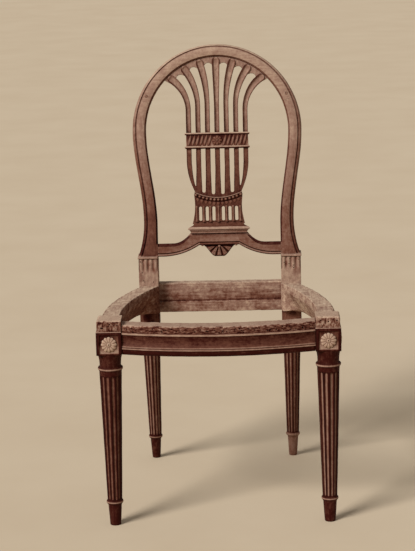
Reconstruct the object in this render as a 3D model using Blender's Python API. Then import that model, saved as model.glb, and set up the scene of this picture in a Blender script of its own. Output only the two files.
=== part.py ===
"""Louis XVI side chair: the bare joined frame of a balloon-back chair, with its pierced splat.

Metres, +Z up. The chair faces -Y and stands on Z = 0; left is -X, as seen from the front.
The seat frame is four rails tenoned into turned and fluted legs. Each rear leg runs on past
the seat as a back stile, and the crest rail closes the two stiles into one hoop. Pegs lock
the tenons.
"""
import math

import bmesh
import bpy
from mathutils import Matrix, Vector

# Joinery
CLEARANCE = 0.0003
ROOT = 0.004
PEG_RADIUS = 0.003
CREST_PEG_INSET = 0.0005
PEG_SIDES = 10
BLIND_END = 0.004

# Seat frame
SEAT_FRONT_TOP = 0.427
SEAT_REAR_TOP = 0.416
SEAT_DEPTH = 0.371
FRONT_RAIL_DROP = 0.0104
FRONT_RAIL_HEIGHT = 0.0598
FRONT_RAIL_THICKNESS = 0.042
FRONT_RAIL_BOW = 0.0307
FRONT_RAIL_SETBACK = 0.0015
SIDE_RAIL_THICKNESS = 0.040
SIDE_RAIL_SETBACK = 0.0053
SIDE_RAIL_HEIGHT = 0.0685
SIDE_RAIL_TAPER = 0.0095
SIDE_RAIL_CUT = 0.0220
SIDE_RAIL_CUT_RISE = 0.0080
SIDE_RAIL_LIP = 0.0160
SIDE_RAIL_BUTT = 0.0100
SIDE_RAIL_CUT_RUN = 0.0240
REAR_RAIL_THICKNESS = 0.024
REAR_RAIL_HEIGHT = 0.0625
REAR_RAIL_STEP_HEIGHT = 0.023
REAR_RAIL_STEP = 0.004

# Moulding on the outer face of the front and side rails, as heights above the rail's underside
BASE_FILLET_TOP = 0.0108
BEAD_TOP = 0.0172
HOLLOW_TOP = 0.0412
UPPER_FILLET_TOP = 0.0453
BASE_FILLET_DEPTH = 0.0022
HOLLOW_DEPTH = 0.0050
REBATE_DEPTH = 0.0045
TOP_EDGE_DEPTH = 0.0075
TOP_EDGE_DROP = 0.0050

# Turned legs: sizes shared by the front and the rear pair
FOOT_RING_HEIGHT = 0.0155
FLUTE_START = 0.0020
FLUTE_END = 0.0080
PLAIN_SHAFT_HEIGHT = 0.0055
COLLAR_HEIGHT = 0.0125
NECK_FLARE = 0.0032
FLUTES = 12
FLUTE_HALF_ANGLE = math.radians(10.0)

# Front legs
FRONT_LEG_SPACING = 0.433
FRONT_BLOCK_WIDTH = 0.0506
FRONT_BLOCK_HEIGHT = 0.0479
FRONT_STUB_HEIGHT = 0.0225
FRONT_STUB_INSET = 0.0020
FRONT_NECK_HEIGHT = 0.0260
FRONT_ANKLE_HEIGHT = 0.0370
FRONT_FOOT_RADIUS = 0.0110
FRONT_ANKLE_RADIUS = 0.0133
FRONT_FOOT_RING_RADIUS = 0.0171
FRONT_SHAFT_BOTTOM_RADIUS = 0.0148
FRONT_SHAFT_TOP_RADIUS = 0.0221
FRONT_COLLAR_RADIUS = 0.0252
FRONT_NECK_RADIUS = 0.0214
FRONT_FLUTE_DEPTH = 0.0030

# Rosettes in their sunk panels
PANEL_SIDE_MARGIN = 0.0073
PANEL_END_MARGIN = 0.0062
PANEL_DROP = 0.0016
PANEL_DEPTH = 0.0030
ROSETTE_MARGIN = 0.0025
ROSETTE_PROUD = 0.0026
ROSETTE_PETALS = 12
PETAL_NOTCH = 0.0016

# Section of a rosette from its rim to its middle, as shares of its thickness and of its radius
ROSETTE_SECTION = ((0.0, 1.0), (0.35, 1.0), (0.80, 0.72), (0.55, 0.36), (0.85, 0.30), (1.0, 0.14))

# Rear legs
REAR_LEG_SPACING = 0.3056
REAR_LEG_RAKE = 0.0890
REAR_BLOCK_WIDTH = 0.0416
REAR_BLOCK_DEPTH = 0.0460
REAR_BLOCK_BELOW_SEAT = 0.0900
REAR_BLOCK_ABOVE_SEAT = 0.0620
REAR_NECK_HEIGHT = 0.0100
REAR_ANKLE_HEIGHT = 0.0420
REAR_FOOT_RADIUS = 0.0090
REAR_ANKLE_RADIUS = 0.0113
REAR_FOOT_RING_RADIUS = 0.0153
REAR_SHAFT_BOTTOM_RADIUS = 0.0134
REAR_SHAFT_TOP_RADIUS = 0.0190
REAR_COLLAR_RADIUS = 0.0207
REAR_NECK_RADIUS = 0.0174
REAR_FLUTE_DEPTH = 0.0024

# Back hoop, in the plane of its raked front face: widths from the outside of the rear blocks,
# and heights above their tops
BACK_RAKE = math.radians(10.8)
BACK_SETBACK = 0.0070
HOOP_THICKNESS = 0.0240
HOOP_FOOT_OVERHANG = 0.0008
HOOP_WAIST_INSET = 0.0130
HOOP_SWELL = 0.0074
HOOP_WAIST_HEIGHT = 0.0780
HOOP_SPRING_HEIGHT = 0.2688
HOOP_TOP_HEIGHT = 0.4527
HOOP_FACE_AT_WAIST = 0.0286
HOOP_FACE_AT_SPRING = 0.0283
HOOP_FACE_AT_TOP = 0.0264
HOOP_INNER_WAIST_HEIGHT = 0.0700
FOOT_FLARE_POWER = 2.2
HOOP_EDGE_CHAMFER = 0.0055

# Moulding across the hoop's face, as shares of its width from the outside and depths behind the face
HOOP_MOULDING = ((0.07, 0.0018), (0.14, 0.0030), (0.45, 0.0), (0.85, 0.0022))

# Joint between a stile and the crest
CREST_JOINT_ANGLE = math.radians(22.0)
CREST_TENON_LENGTH = 0.026
CREST_TENON_WIDTH = 0.013
CREST_TENON_THICKNESS = 0.008

# Bottom rail of the back
BOTTOM_RAIL_THICKNESS = 0.0205
BOTTOM_RAIL_SETBACK = 0.0010
BOTTOM_RAIL_END_HEIGHT = 0.0280
SWELL_START = 0.1000
SWELL_END = 0.0605
SWELL_RISE = 0.0225
SWELL_POWER = 2.2
ARCH_START = 0.1200
ARCH_END = 0.0430
ARCH_RISE = 0.0230
ARCH_POWER = 2.1
PENDANT_START = 0.0360
PENDANT_END = 0.0085
PENDANT_DROP = 0.0242
PLINTH_HEIGHT = 0.0140
PLINTH_HALF_WIDTH = 0.0665
PLINTH_PROUD = 0.0050

# Splat: half widths, and heights above the plinth
SPLAT_THICKNESS = 0.0140
SPLAT_SETBACK = 0.0040
RIBS_PER_SIDE = 3
RIB_SPACING = 0.0203
RIB_WIDTH = 0.0106
RIB_HEAD_WIDTH = 0.0165
RIB_FAN_ANGLE = math.radians(14.2)
RIB_TURN_ANGLE = math.radians(20.0)
FAN_EDGE_MARGIN = math.radians(3.6)
WEB_DEPTH = 0.0145
BAND_RISE = 0.1651
BAND_HEIGHT = 0.0344
BAND_FILLET_HEIGHT = 0.0055
BAND_FILLET_PROUD = 0.0040
BAND_PROUD = 0.0030
BOWL_SHOULDER_RISE = 0.1405
BOWL_BOTTOM_RISE = 0.0685
BOWL_BOTTOM_HALF_WIDTH = 0.0475
BOWL_RIM = 0.0143
SLOT_TIP = 0.0020
COLLAR_INSET = 0.0010
COLLAR_RISE = 0.0565
COLLAR_SAG = 0.0120
COLLAR_WIDTH = 0.0085
COLLAR_PROUD = 0.0040
BASKET_HALF_WIDTH = 0.0520
BASKET_SLOTS_PER_SIDE = 3
BASKET_FIRST_SLOT = 0.0102
BASKET_SLOT_SPACING = 0.0142
BASKET_SLOT_WIDTH = 0.0058
BASKET_SLOT_RISE = 0.0412
BASKET_SETBACK = 0.0010
BASE_HALF_WIDTH = 0.0552
BASE_HEIGHT = 0.0110
BASE_PROUD = 0.0025
TONGUE_DEPTH = 0.0060
TONGUE_THICKNESS = 0.0060
TONGUE_END_MARGIN = math.radians(2.6)
SPLAT_TENON_HALF_WIDTH = 0.0300
SPLAT_TENON_LENGTH = 0.0180
SPLAT_TENON_THICKNESS = 0.0070

# Tenons of the seat rails and of the bottom rail
TENON_THICKNESS = 0.0095
TENON_MARGIN = 0.0110
TENON_OFFSET = 0.0075
FRONT_TENON_LENGTH = 0.0220
SIDE_TENON_FRONT_LENGTH = 0.0200
SIDE_TENON_REAR_LENGTH = 0.0180
REAR_TENON_LENGTH = 0.0200
BOTTOM_TENON_LENGTH = 0.0180
BOTTOM_TENON_THICKNESS = 0.0080
BOTTOM_TENON_MARGIN = 0.0050
FRONT_TENON_BELOW_TOP = 0.0030
FRONT_PEG_BELOW_TOP = 0.0084
SIDE_PEG_BELOW_TOP = 0.0135
REAR_PEG_SPACING = 0.0220

# How finely round shapes are divided
RING_STEPS = 4
RAIL_STEPS = 14
STILE_STEPS = 16
CREST_STEPS = 36
CURVE_STEPS = 8
CAP_STEPS = 5

# Places worked out from the sizes above
FRONT_REACH = FRONT_BLOCK_WIDTH / 2 + FRONT_RAIL_BOW - FRONT_RAIL_SETBACK
REAR_REACH = SEAT_DEPTH + REAR_LEG_RAKE + REAR_FOOT_RADIUS
FRONT_RAIL_TOP = SEAT_FRONT_TOP - FRONT_RAIL_DROP
FRONT_RAIL_BOTTOM = FRONT_RAIL_TOP - FRONT_RAIL_HEIGHT
FRONT_BLOCK_TOP = SEAT_FRONT_TOP - FRONT_STUB_HEIGHT
FRONT_BLOCK_BOTTOM = FRONT_BLOCK_TOP - FRONT_BLOCK_HEIGHT
REAR_BLOCK_BOTTOM = SEAT_REAR_TOP - REAR_BLOCK_BELOW_SEAT
REAR_BLOCK_TOP = SEAT_REAR_TOP + REAR_BLOCK_ABOVE_SEAT
FRONT_LEG_X = FRONT_LEG_SPACING / 2
FRONT_LEG_Y = (FRONT_REACH - REAR_REACH) / 2
REAR_LEG_X = REAR_LEG_SPACING / 2
REAR_POST_Y = FRONT_LEG_Y + SEAT_DEPTH
POST_FRONT_Y = REAR_POST_Y - REAR_BLOCK_DEPTH / 2
POST_BACK_Y = REAR_POST_Y + REAR_BLOCK_DEPTH / 2
POST_INNER_X = REAR_LEG_X - REAR_BLOCK_WIDTH / 2
POST_OUTER_X = REAR_LEG_X + REAR_BLOCK_WIDTH / 2
BLOCK_INNER_X = FRONT_LEG_X - FRONT_BLOCK_WIDTH / 2
BLOCK_OUTER_X = FRONT_LEG_X + FRONT_BLOCK_WIDTH / 2
BLOCK_FRONT_Y = FRONT_LEG_Y - FRONT_BLOCK_WIDTH / 2
BLOCK_BACK_Y = FRONT_LEG_Y + FRONT_BLOCK_WIDTH / 2
PANEL_CENTRE_Z = (FRONT_BLOCK_BOTTOM + FRONT_BLOCK_TOP) / 2 - PANEL_DROP
PANEL_WIDTH = FRONT_BLOCK_WIDTH - 2 * PANEL_SIDE_MARGIN
PANEL_HEIGHT = FRONT_BLOCK_HEIGHT - 2 * PANEL_END_MARGIN
ROSETTE_RADIUS = min(PANEL_WIDTH, PANEL_HEIGHT) / 2 - ROSETTE_MARGIN
REAR_RAIL_FRONT_Y = POST_BACK_Y - REAR_RAIL_THICKNESS
BACK_Y = POST_FRONT_Y + BACK_SETBACK
HOOP_FOOT_HALF_WIDTH = POST_OUTER_X + HOOP_FOOT_OVERHANG
HOOP_WAIST_HALF_WIDTH = POST_OUTER_X - HOOP_WAIST_INSET
HOOP_WIDEST_HALF_WIDTH = POST_OUTER_X + HOOP_SWELL
HOOP_RISE = HOOP_TOP_HEIGHT - HOOP_SPRING_HEIGHT
HOOP_INNER_WIDEST = HOOP_WIDEST_HALF_WIDTH - HOOP_FACE_AT_SPRING
HOOP_INNER_RISE = HOOP_RISE - HOOP_FACE_AT_TOP
HOOP_INNER_WAIST = HOOP_WAIST_HALF_WIDTH - HOOP_FACE_AT_WAIST
BOTTOM_RAIL_END = min(HOOP_INNER_WAIST, POST_INNER_X) - CLEARANCE
PLINTH_TOP = BOTTOM_RAIL_END_HEIGHT + SWELL_RISE + PLINTH_HEIGHT
BAND_HALF_WIDTH = RIBS_PER_SIDE * RIB_SPACING + RIB_WIDTH / 2
BAND_BOTTOM = PLINTH_TOP + BAND_RISE
BAND_TOP = BAND_BOTTOM + BAND_HEIGHT
BOWL_SHOULDER = PLINTH_TOP + BOWL_SHOULDER_RISE
BOWL_BOTTOM = PLINTH_TOP + BOWL_BOTTOM_RISE
COLLAR_HALF_WIDTH = BASKET_HALF_WIDTH - COLLAR_INSET
FAN_HALF_ANGLE = RIBS_PER_SIDE * RIB_FAN_ANGLE
SPLAT_MIDDLE = SPLAT_SETBACK + SPLAT_THICKNESS / 2

BACK_FRAME = Matrix.Translation((0, BACK_Y, REAR_BLOCK_TOP)) @ Matrix.Rotation(-BACK_RAKE, 4, "X")


def clear_scene():
    for old in list(bpy.data.objects):
        bpy.data.objects.remove(old, do_unlink=True)


def wood(name, colour, roughness):
    material = bpy.data.materials.new(name)
    material.use_nodes = True
    shader = material.node_tree.nodes["Principled BSDF"]
    shader.inputs["Base Color"].default_value = (*colour, 1.0)
    shader.inputs["Roughness"].default_value = roughness
    shader.inputs["Metallic"].default_value = 0.0
    material.diffuse_color = (*colour, 1.0)
    return material


def smooth_step(t):
    t = min(max(t, 0.0), 1.0)
    return t * t * (3 - 2 * t)


def spread(start, end, steps):
    """steps + 1 evenly spaced values from start to end."""
    return [start + (end - start) * index / steps for index in range(steps + 1)]


def finish(mesh_builder, name, material, parent=None):
    """Turn a bmesh into an object with its faces pointing out and its round faces smooth."""
    bmesh.ops.recalc_face_normals(mesh_builder, faces=mesh_builder.faces)
    mesh = bpy.data.meshes.new(name)
    mesh_builder.to_mesh(mesh)
    mesh_builder.free()
    mesh.shade_smooth()
    mesh.set_sharp_from_angle(angle=math.radians(35))
    mesh.materials.append(material)
    piece = bpy.data.objects.new(name, mesh)
    bpy.context.scene.collection.objects.link(piece)
    piece.parent = parent
    return piece


def loft(name, rings, material, parent=None):
    """Skin a closed body through rings of equally many points, with a flat cap on each end."""
    builder = bmesh.new()
    loops = [[builder.verts.new(point) for point in ring] for ring in rings]
    count = len(loops[0])
    for lower, upper in zip(loops, loops[1:]):
        for index in range(count):
            following = (index + 1) % count
            builder.faces.new((lower[index], lower[following], upper[following], upper[index]))
    builder.faces.new(loops[0][::-1])
    builder.faces.new(loops[-1])
    return finish(builder, name, material, parent)


def box_rings(low, high):
    corners = ((low[0], low[1]), (high[0], low[1]), (high[0], high[1]), (low[0], high[1]))
    return [[Vector((x, y, z)) for x, y in corners] for z in (low[2], high[2])]


def box(name, low, high, material, parent=None):
    return loft(name, box_rings(low, high), material, parent)


def side_box(name, side, low, high, material, parent=None):
    """A box given for the right side, mirrored to -X where side is -1."""
    if side < 0:
        low, high = (-high[0], low[1], low[2]), (-low[0], high[1], high[2])
    return box(name, low, high, material, parent)


def prism(name, outline, front, back, material, parent=None):
    """Extrude an outline of (across, up) points from depth front to depth back."""
    rings = [[Vector((x, depth, z)) for x, z in outline] for depth in (front, back)]
    return loft(name, rings, material, parent)


def rod_rings(start, end, radius):
    start, end = Vector(start), Vector(end)
    turn = (end - start).to_track_quat("Z", "Y")
    circle = []
    for index in range(PEG_SIDES):
        angle = 2 * math.pi * index / PEG_SIDES
        circle.append(turn @ Vector((radius * math.cos(angle), radius * math.sin(angle), 0)))
    return [[start + point for point in circle], [end + point for point in circle]]


def apply_tool(target, operation, tool):
    modifier = target.modifiers.new(tool.name, "BOOLEAN")
    modifier.operation = operation
    modifier.solver = "EXACT"
    modifier.object = tool
    tool.hide_render = True
    tool.display_type = "WIRE"


def unite(target, *tools):
    for tool in tools:
        apply_tool(target, "UNION", tool)


def cut(target, *tools):
    for tool in tools:
        apply_tool(target, "DIFFERENCE", tool)


def grown(low, high, margin=CLEARANCE):
    """A tenon's box, made larger all round for its mortise."""
    return tuple(value - margin for value in low), tuple(value + margin for value in high)


# Turned legs

def half_round(bottom, top, radius_below, radius_ring, radius_above):
    """Stations of a turned ring, from the radius below it to the radius above it."""
    stations = []
    for index in range(RING_STEPS + 1):
        share = index / RING_STEPS
        base = radius_below + (radius_above - radius_below) * share
        swell = math.sin(math.pi * share)
        height = bottom + (top - bottom) * (1 - math.cos(math.pi * share)) / 2
        stations.append((height, base + (radius_ring - base) * swell, 0.0))
    return stations


def leg_stations(ankle_height, foot, ankle, foot_ring, shaft_bottom, shaft_top, collar, neck, neck_height,
                 flute_depth, block_bottom):
    """(height, radius, flute depth) up a turned leg, from the floor to its block."""
    ring_top = ankle_height + FOOT_RING_HEIGHT
    collar_top = block_bottom - neck_height
    collar_bottom = collar_top - COLLAR_HEIGHT
    flute_bottom = ring_top + FLUTE_START
    flute_top = collar_bottom - PLAIN_SHAFT_HEIGHT
    stations = [(0.0, foot, 0.0)]
    stations += half_round(ankle_height, ring_top, ankle, foot_ring, shaft_bottom)
    stations.append((flute_bottom, shaft_bottom, 0.0))
    stations.append((flute_bottom + FLUTE_END, shaft_bottom, flute_depth * shaft_bottom / shaft_top))
    stations.append((flute_top - FLUTE_END, shaft_top, flute_depth))
    stations.append((flute_top, shaft_top, 0.0))
    stations += half_round(collar_bottom, collar_top, shaft_top, collar, neck)
    stations.append((block_bottom - neck_height / 2, neck, 0.0))
    stations.append((block_bottom, neck + NECK_FLARE, 0.0))
    return stations


def ring_directions():
    """(angle, in a flute) round a turned leg; the angles include the corners of a square."""
    directions = []
    for flute in range(FLUTES):
        middle = math.pi / 4 + 2 * math.pi * flute / FLUTES
        directions.append((middle - FLUTE_HALF_ANGLE, False))
        directions.append((middle, True))
        directions.append((middle + FLUTE_HALF_ANGLE, False))
    return directions


def turned_ring(centre, station):
    height, radius, depth = station
    ring = []
    for angle, in_flute in ring_directions():
        reach = radius - depth if in_flute else radius
        x = centre[0] + reach * math.cos(angle)
        y = centre[1] + reach * math.sin(angle)
        ring.append(Vector((x, y, height)))
    return ring


def square_ring(centre, width, depth, height):
    """The same points, pushed out to a rectangle."""
    ring = []
    for angle, _ in ring_directions():
        reach = 1 / max(abs(math.cos(angle)), abs(math.sin(angle)))
        x = centre[0] + width / 2 * reach * math.cos(angle)
        y = centre[1] + depth / 2 * reach * math.sin(angle)
        ring.append(Vector((x, y, height)))
    return ring


def front_leg(side, name, material):
    centre = (side * FRONT_LEG_X, FRONT_LEG_Y)
    stations = leg_stations(FRONT_ANKLE_HEIGHT, FRONT_FOOT_RADIUS, FRONT_ANKLE_RADIUS,
                            FRONT_FOOT_RING_RADIUS, FRONT_SHAFT_BOTTOM_RADIUS, FRONT_SHAFT_TOP_RADIUS,
                            FRONT_COLLAR_RADIUS, FRONT_NECK_RADIUS, FRONT_NECK_HEIGHT, FRONT_FLUTE_DEPTH,
                            FRONT_BLOCK_BOTTOM)
    stub_shift = (FRONT_STUB_INSET - CLEARANCE) / 2
    stub_width = FRONT_BLOCK_WIDTH - FRONT_STUB_INSET - CLEARANCE
    stub_centre = (side * (FRONT_LEG_X - stub_shift), FRONT_LEG_Y + stub_shift)
    rings = [turned_ring(centre, station) for station in stations]
    rings.append(square_ring(centre, FRONT_BLOCK_WIDTH, FRONT_BLOCK_WIDTH, FRONT_BLOCK_BOTTOM))
    rings.append(square_ring(centre, FRONT_BLOCK_WIDTH, FRONT_BLOCK_WIDTH, FRONT_BLOCK_TOP))
    rings.append(square_ring(stub_centre, stub_width, stub_width, FRONT_BLOCK_TOP))
    rings.append(square_ring(stub_centre, stub_width, stub_width, SEAT_FRONT_TOP))
    leg = loft(name, rings, material)

    half, panel_low = PANEL_WIDTH / 2, PANEL_CENTRE_Z - PANEL_HEIGHT / 2
    panel_high = PANEL_CENTRE_Z + PANEL_HEIGHT / 2
    front_panel = side_box(name + ".front_panel", side,
                           (FRONT_LEG_X - half, BLOCK_FRONT_Y - ROOT, panel_low),
                           (FRONT_LEG_X + half, BLOCK_FRONT_Y + PANEL_DEPTH, panel_high), material)
    side_panel = side_box(name + ".side_panel", side,
                          (BLOCK_OUTER_X - PANEL_DEPTH, FRONT_LEG_Y - half, panel_low),
                          (BLOCK_OUTER_X + ROOT, FRONT_LEG_Y + half, panel_high), material)
    front_mortise = side_box(name + ".front_mortise", side, *grown(*front_tenon()), material)
    side_mortise = side_box(name + ".side_mortise", side, *grown(*side_front_tenon()), material)
    cut(leg, front_panel, side_panel, front_mortise, side_mortise)
    cut(leg, peg_hole(name + ".front_peg_hole", front_peg(side), material))
    cut(leg, peg_hole(name + ".side_peg_hole", side_front_peg(side), material))
    return leg


def rear_leg(side, name, material):
    centre = (side * REAR_LEG_X, REAR_POST_Y)
    stations = leg_stations(REAR_ANKLE_HEIGHT, REAR_FOOT_RADIUS, REAR_ANKLE_RADIUS,
                            REAR_FOOT_RING_RADIUS, REAR_SHAFT_BOTTOM_RADIUS, REAR_SHAFT_TOP_RADIUS,
                            REAR_COLLAR_RADIUS, REAR_NECK_RADIUS, REAR_NECK_HEIGHT, REAR_FLUTE_DEPTH,
                            REAR_BLOCK_BOTTOM)
    rings = []
    for station in stations:
        rake = REAR_LEG_RAKE * (1 - station[0] / REAR_BLOCK_BOTTOM)
        rings.append(turned_ring((centre[0], centre[1] + rake), station))
    rings.append(square_ring(centre, REAR_BLOCK_WIDTH, REAR_BLOCK_DEPTH, REAR_BLOCK_BOTTOM))
    rings.append(square_ring(centre, REAR_BLOCK_WIDTH, REAR_BLOCK_DEPTH, REAR_BLOCK_TOP))
    leg = loft(name, rings, material)

    stile_rings = [[BACK_FRAME @ point for point in ring] for ring in stile_sections(side)]
    stile = loft(name + ".stile", stile_rings, material)
    tenon_rings = [[BACK_FRAME @ point for point in ring] for ring in crest_tenon(side, 0.0)]
    tenon = loft(name + ".crest_tenon", tenon_rings, material)
    unite(leg, stile, tenon)

    side_mortise = side_box(name + ".side_mortise", side, *grown(*side_rear_tenon()), material)
    rear_mortise = side_box(name + ".rear_mortise", side, *grown(*rear_tenon()), material)
    back_frame = bpy.data.objects["back_frame"]
    bottom_mortise = side_box(name + ".bottom_mortise", side, *grown(*bottom_tenon()), material, back_frame)
    cut(leg, side_mortise, rear_mortise, bottom_mortise)
    for index, ends in enumerate(side_rear_pegs(side) + rear_pegs(side)):
        cut(leg, peg_hole(f"{name}.seat_peg_hole_{index}", ends, material))
    cut(leg, peg_hole(name + ".bottom_peg_hole", bottom_peg(side), material))
    cut(leg, peg_hole(name + ".crest_peg_hole", crest_peg(side), material, ROOT))
    return leg


# Back hoop, in the frame of the raked back: X across, Y depth behind the face, Z up the back

def hoop_outer(height):
    """Half width of the hoop's outline below the spring of its arch."""
    if height < HOOP_WAIST_HEIGHT:
        flare = HOOP_FOOT_HALF_WIDTH - HOOP_WAIST_HALF_WIDTH
        drop = (HOOP_WAIST_HEIGHT - max(height, 0.0)) / HOOP_WAIST_HEIGHT
        return HOOP_WAIST_HALF_WIDTH + flare * drop ** FOOT_FLARE_POWER
    share = (height - HOOP_WAIST_HEIGHT) / (HOOP_SPRING_HEIGHT - HOOP_WAIST_HEIGHT)
    return HOOP_WAIST_HALF_WIDTH + (HOOP_WIDEST_HALF_WIDTH - HOOP_WAIST_HALF_WIDTH) * smooth_step(share)


def hoop_inner(height):
    share = (height - HOOP_INNER_WAIST_HEIGHT) / (HOOP_SPRING_HEIGHT - HOOP_INNER_WAIST_HEIGHT)
    return HOOP_INNER_WAIST + (HOOP_INNER_WIDEST - HOOP_INNER_WAIST) * smooth_step(share)


def arch_point(angle, inward):
    """A point of the arch at an angle above its spring; inward is 0 outside and 1 inside."""
    half_width = HOOP_WIDEST_HALF_WIDTH + (HOOP_INNER_WIDEST - HOOP_WIDEST_HALF_WIDTH) * inward
    rise = HOOP_RISE + (HOOP_INNER_RISE - HOOP_RISE) * inward
    return half_width * math.cos(angle), HOOP_SPRING_HEIGHT + rise * math.sin(angle)


def hoop_section(outer, inner):
    """Moulded section between an outer and an inner (across, up) point."""
    profile = ((0.0, HOOP_THICKNESS), (0.0, HOOP_EDGE_CHAMFER), *HOOP_MOULDING,
               (1.0, HOOP_EDGE_CHAMFER), (1.0, HOOP_THICKNESS))
    section = []
    for share, depth in profile:
        x = outer[0] + (inner[0] - outer[0]) * share
        z = outer[1] + (inner[1] - outer[1]) * share
        section.append(Vector((x, depth, z)))
    return section


def mirrored(section, side):
    return [Vector((side * point.x, point.y, point.z)) for point in section]


def stile_sections(side):
    sections = []
    for height in [-ROOT] + spread(0.0, HOOP_SPRING_HEIGHT, STILE_STEPS):
        sections.append(hoop_section((hoop_outer(height), height), (hoop_inner(height), height)))
    for angle in spread(0.0, CREST_JOINT_ANGLE, CURVE_STEPS // 2)[1:]:
        sections.append(hoop_section(arch_point(angle, 0.0), arch_point(angle, 1.0)))
    return [mirrored(section, side) for section in sections]


def crest_tenon(side, margin):
    """Rings of the straight tenon on top of a stile, or of its mortise where margin is not 0."""
    middle = Vector(arch_point(CREST_JOINT_ANGLE, 0.5))
    quarter_on = Vector(arch_point(CREST_JOINT_ANGLE + math.pi / 2, 0.5))
    along = (quarter_on - Vector((0, HOOP_SPRING_HEIGHT))).normalized()
    across = Vector((along.y, -along.x))
    start = middle - along * ROOT
    end = middle + along * (CREST_TENON_LENGTH + margin)
    half_width = CREST_TENON_WIDTH / 2 + margin
    half_depth = CREST_TENON_THICKNESS / 2 + margin
    rings = []
    for centre in (start, end):
        ring = []
        for offset, depth in ((-1, -1), (1, -1), (1, 1), (-1, 1)):
            point = centre + across * (offset * half_width)
            ring.append(Vector((point.x, HOOP_THICKNESS / 2 + depth * half_depth, point.y)))
        rings.append(mirrored(ring, side))
    return rings


def crest_rail(name, material, parent):
    gap = CLEARANCE / HOOP_WIDEST_HALF_WIDTH
    start, end = CREST_JOINT_ANGLE + gap, math.pi - CREST_JOINT_ANGLE - gap
    rings = []
    for angle in spread(start, end, CREST_STEPS):
        rings.append(hoop_section(arch_point(angle, 0.0), arch_point(angle, 1.0)))
    crest = loft(name, rings, material, parent)
    for side in (-1, 1):
        cut(crest, loft(f"{name}.mortise_{side}", crest_tenon(side, CLEARANCE), material, parent))
        cut(crest, peg_hole(f"{name}.peg_hole_{side}", crest_peg(side), material, ROOT))
    groove = splat_tongue(name + ".groove", CLEARANCE, material, parent)
    cut(crest, groove)
    return crest


def bottom_rail_top(x):
    share = max(SWELL_START - x, 0.0) / (SWELL_START - SWELL_END)
    return BOTTOM_RAIL_END_HEIGHT + SWELL_RISE * share ** SWELL_POWER


def bottom_rail_under(x):
    share = min(max(ARCH_START - x, 0.0) / (ARCH_START - ARCH_END), 1.0)
    arch = ARCH_RISE * share ** ARCH_POWER
    return arch - PENDANT_DROP * smooth_step((PENDANT_START - x) / (PENDANT_START - PENDANT_END))


def bottom_rail(name, material, parent):
    end = BOTTOM_RAIL_END
    top = [(end, bottom_rail_top(end))]
    top += [(x, bottom_rail_top(x)) for x in spread(SWELL_START, SWELL_END, CURVE_STEPS)]
    top.append((SWELL_END, PLINTH_TOP - PLINTH_HEIGHT / 2))
    under = [(x, bottom_rail_under(x)) for x in spread(0.0, min(ARCH_START, end - ROOT), 3 * CURVE_STEPS)]
    under.append((end, bottom_rail_under(end)))
    right = under + top
    left = [(-x, z) for x, z in right[::-1][:-1]]
    back = BOTTOM_RAIL_SETBACK + BOTTOM_RAIL_THICKNESS
    rail = prism(name, right + left, BOTTOM_RAIL_SETBACK, back, material, parent)

    plinth_low = (-PLINTH_HALF_WIDTH, -PLINTH_PROUD, PLINTH_TOP - PLINTH_HEIGHT)
    plinth_high = (PLINTH_HALF_WIDTH, back + BASE_PROUD, PLINTH_TOP)
    unite(rail, box(name + ".plinth", plinth_low, plinth_high, material, parent))
    for side in (-1, 1):
        low, high = bottom_tenon()
        rooted = (low[0] - ROOT, low[1], low[2])
        unite(rail, side_box(f"{name}.tenon_{side}", side, rooted, high, material, parent))
        cut(rail, peg_hole(f"{name}.peg_hole_{side}", bottom_peg(side), material))
    low, high = grown(*splat_tenon())
    cut(rail, box(name + ".splat_mortise", low, (high[0], high[1], PLINTH_TOP + ROOT), material, parent))
    return rail


def bottom_tenon():
    middle = BOTTOM_RAIL_SETBACK + BOTTOM_RAIL_THICKNESS / 2
    low = (BOTTOM_RAIL_END, middle - BOTTOM_TENON_THICKNESS / 2, BOTTOM_TENON_MARGIN)
    high = (HOOP_INNER_WAIST + BOTTOM_TENON_LENGTH, middle + BOTTOM_TENON_THICKNESS / 2,
            BOTTOM_RAIL_END_HEIGHT - BOTTOM_TENON_MARGIN)
    return low, high


# Splat

def rib_head(number):
    """Where the middle of a rib meets the hoop, and the direction that it turns to."""
    fan = RIB_FAN_ANGLE * number
    half_width = HOOP_INNER_WIDEST - CLEARANCE
    rise = HOOP_INNER_RISE - CLEARANCE
    return half_width * math.sin(fan), HOOP_SPRING_HEIGHT + rise * math.cos(fan)


def rib_edge(number, edge, stop_short):
    """Points up one edge of a rib, from the band to stop_short before the hoop; edge is -1 or 1."""
    head_x, head_z = rib_head(number)
    start_x = number * RIB_SPACING
    turn = RIB_TURN_ANGLE * abs(number)
    if number == 0:
        bend_z = BAND_TOP + (head_z - BAND_TOP) / 2
        length = head_z - bend_z
    else:
        bend_z = head_z - abs(head_x - start_x) / math.tan(turn / 2)
        radius = abs(head_x - start_x) / (1 - math.cos(turn))
        length = radius * turn
    points = [(start_x + edge * RIB_WIDTH / 2, (BAND_BOTTOM + BAND_TOP) / 2)]
    for share in spread(0.0, 1 - stop_short / length, CURVE_STEPS - 2):
        angle = turn * share * (1 if number >= 0 else -1)
        if number == 0:
            x, z = start_x, bend_z + length * share
        else:
            x = start_x + math.copysign(radius, number) * (1 - math.cos(angle))
            z = bend_z + radius * math.sin(abs(angle))
        half = (RIB_WIDTH + (RIB_HEAD_WIDTH - RIB_WIDTH) * smooth_step(share)) / 2
        points.append((x + edge * half * math.cos(angle), z - edge * half * math.sin(angle)))
    return points


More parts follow.
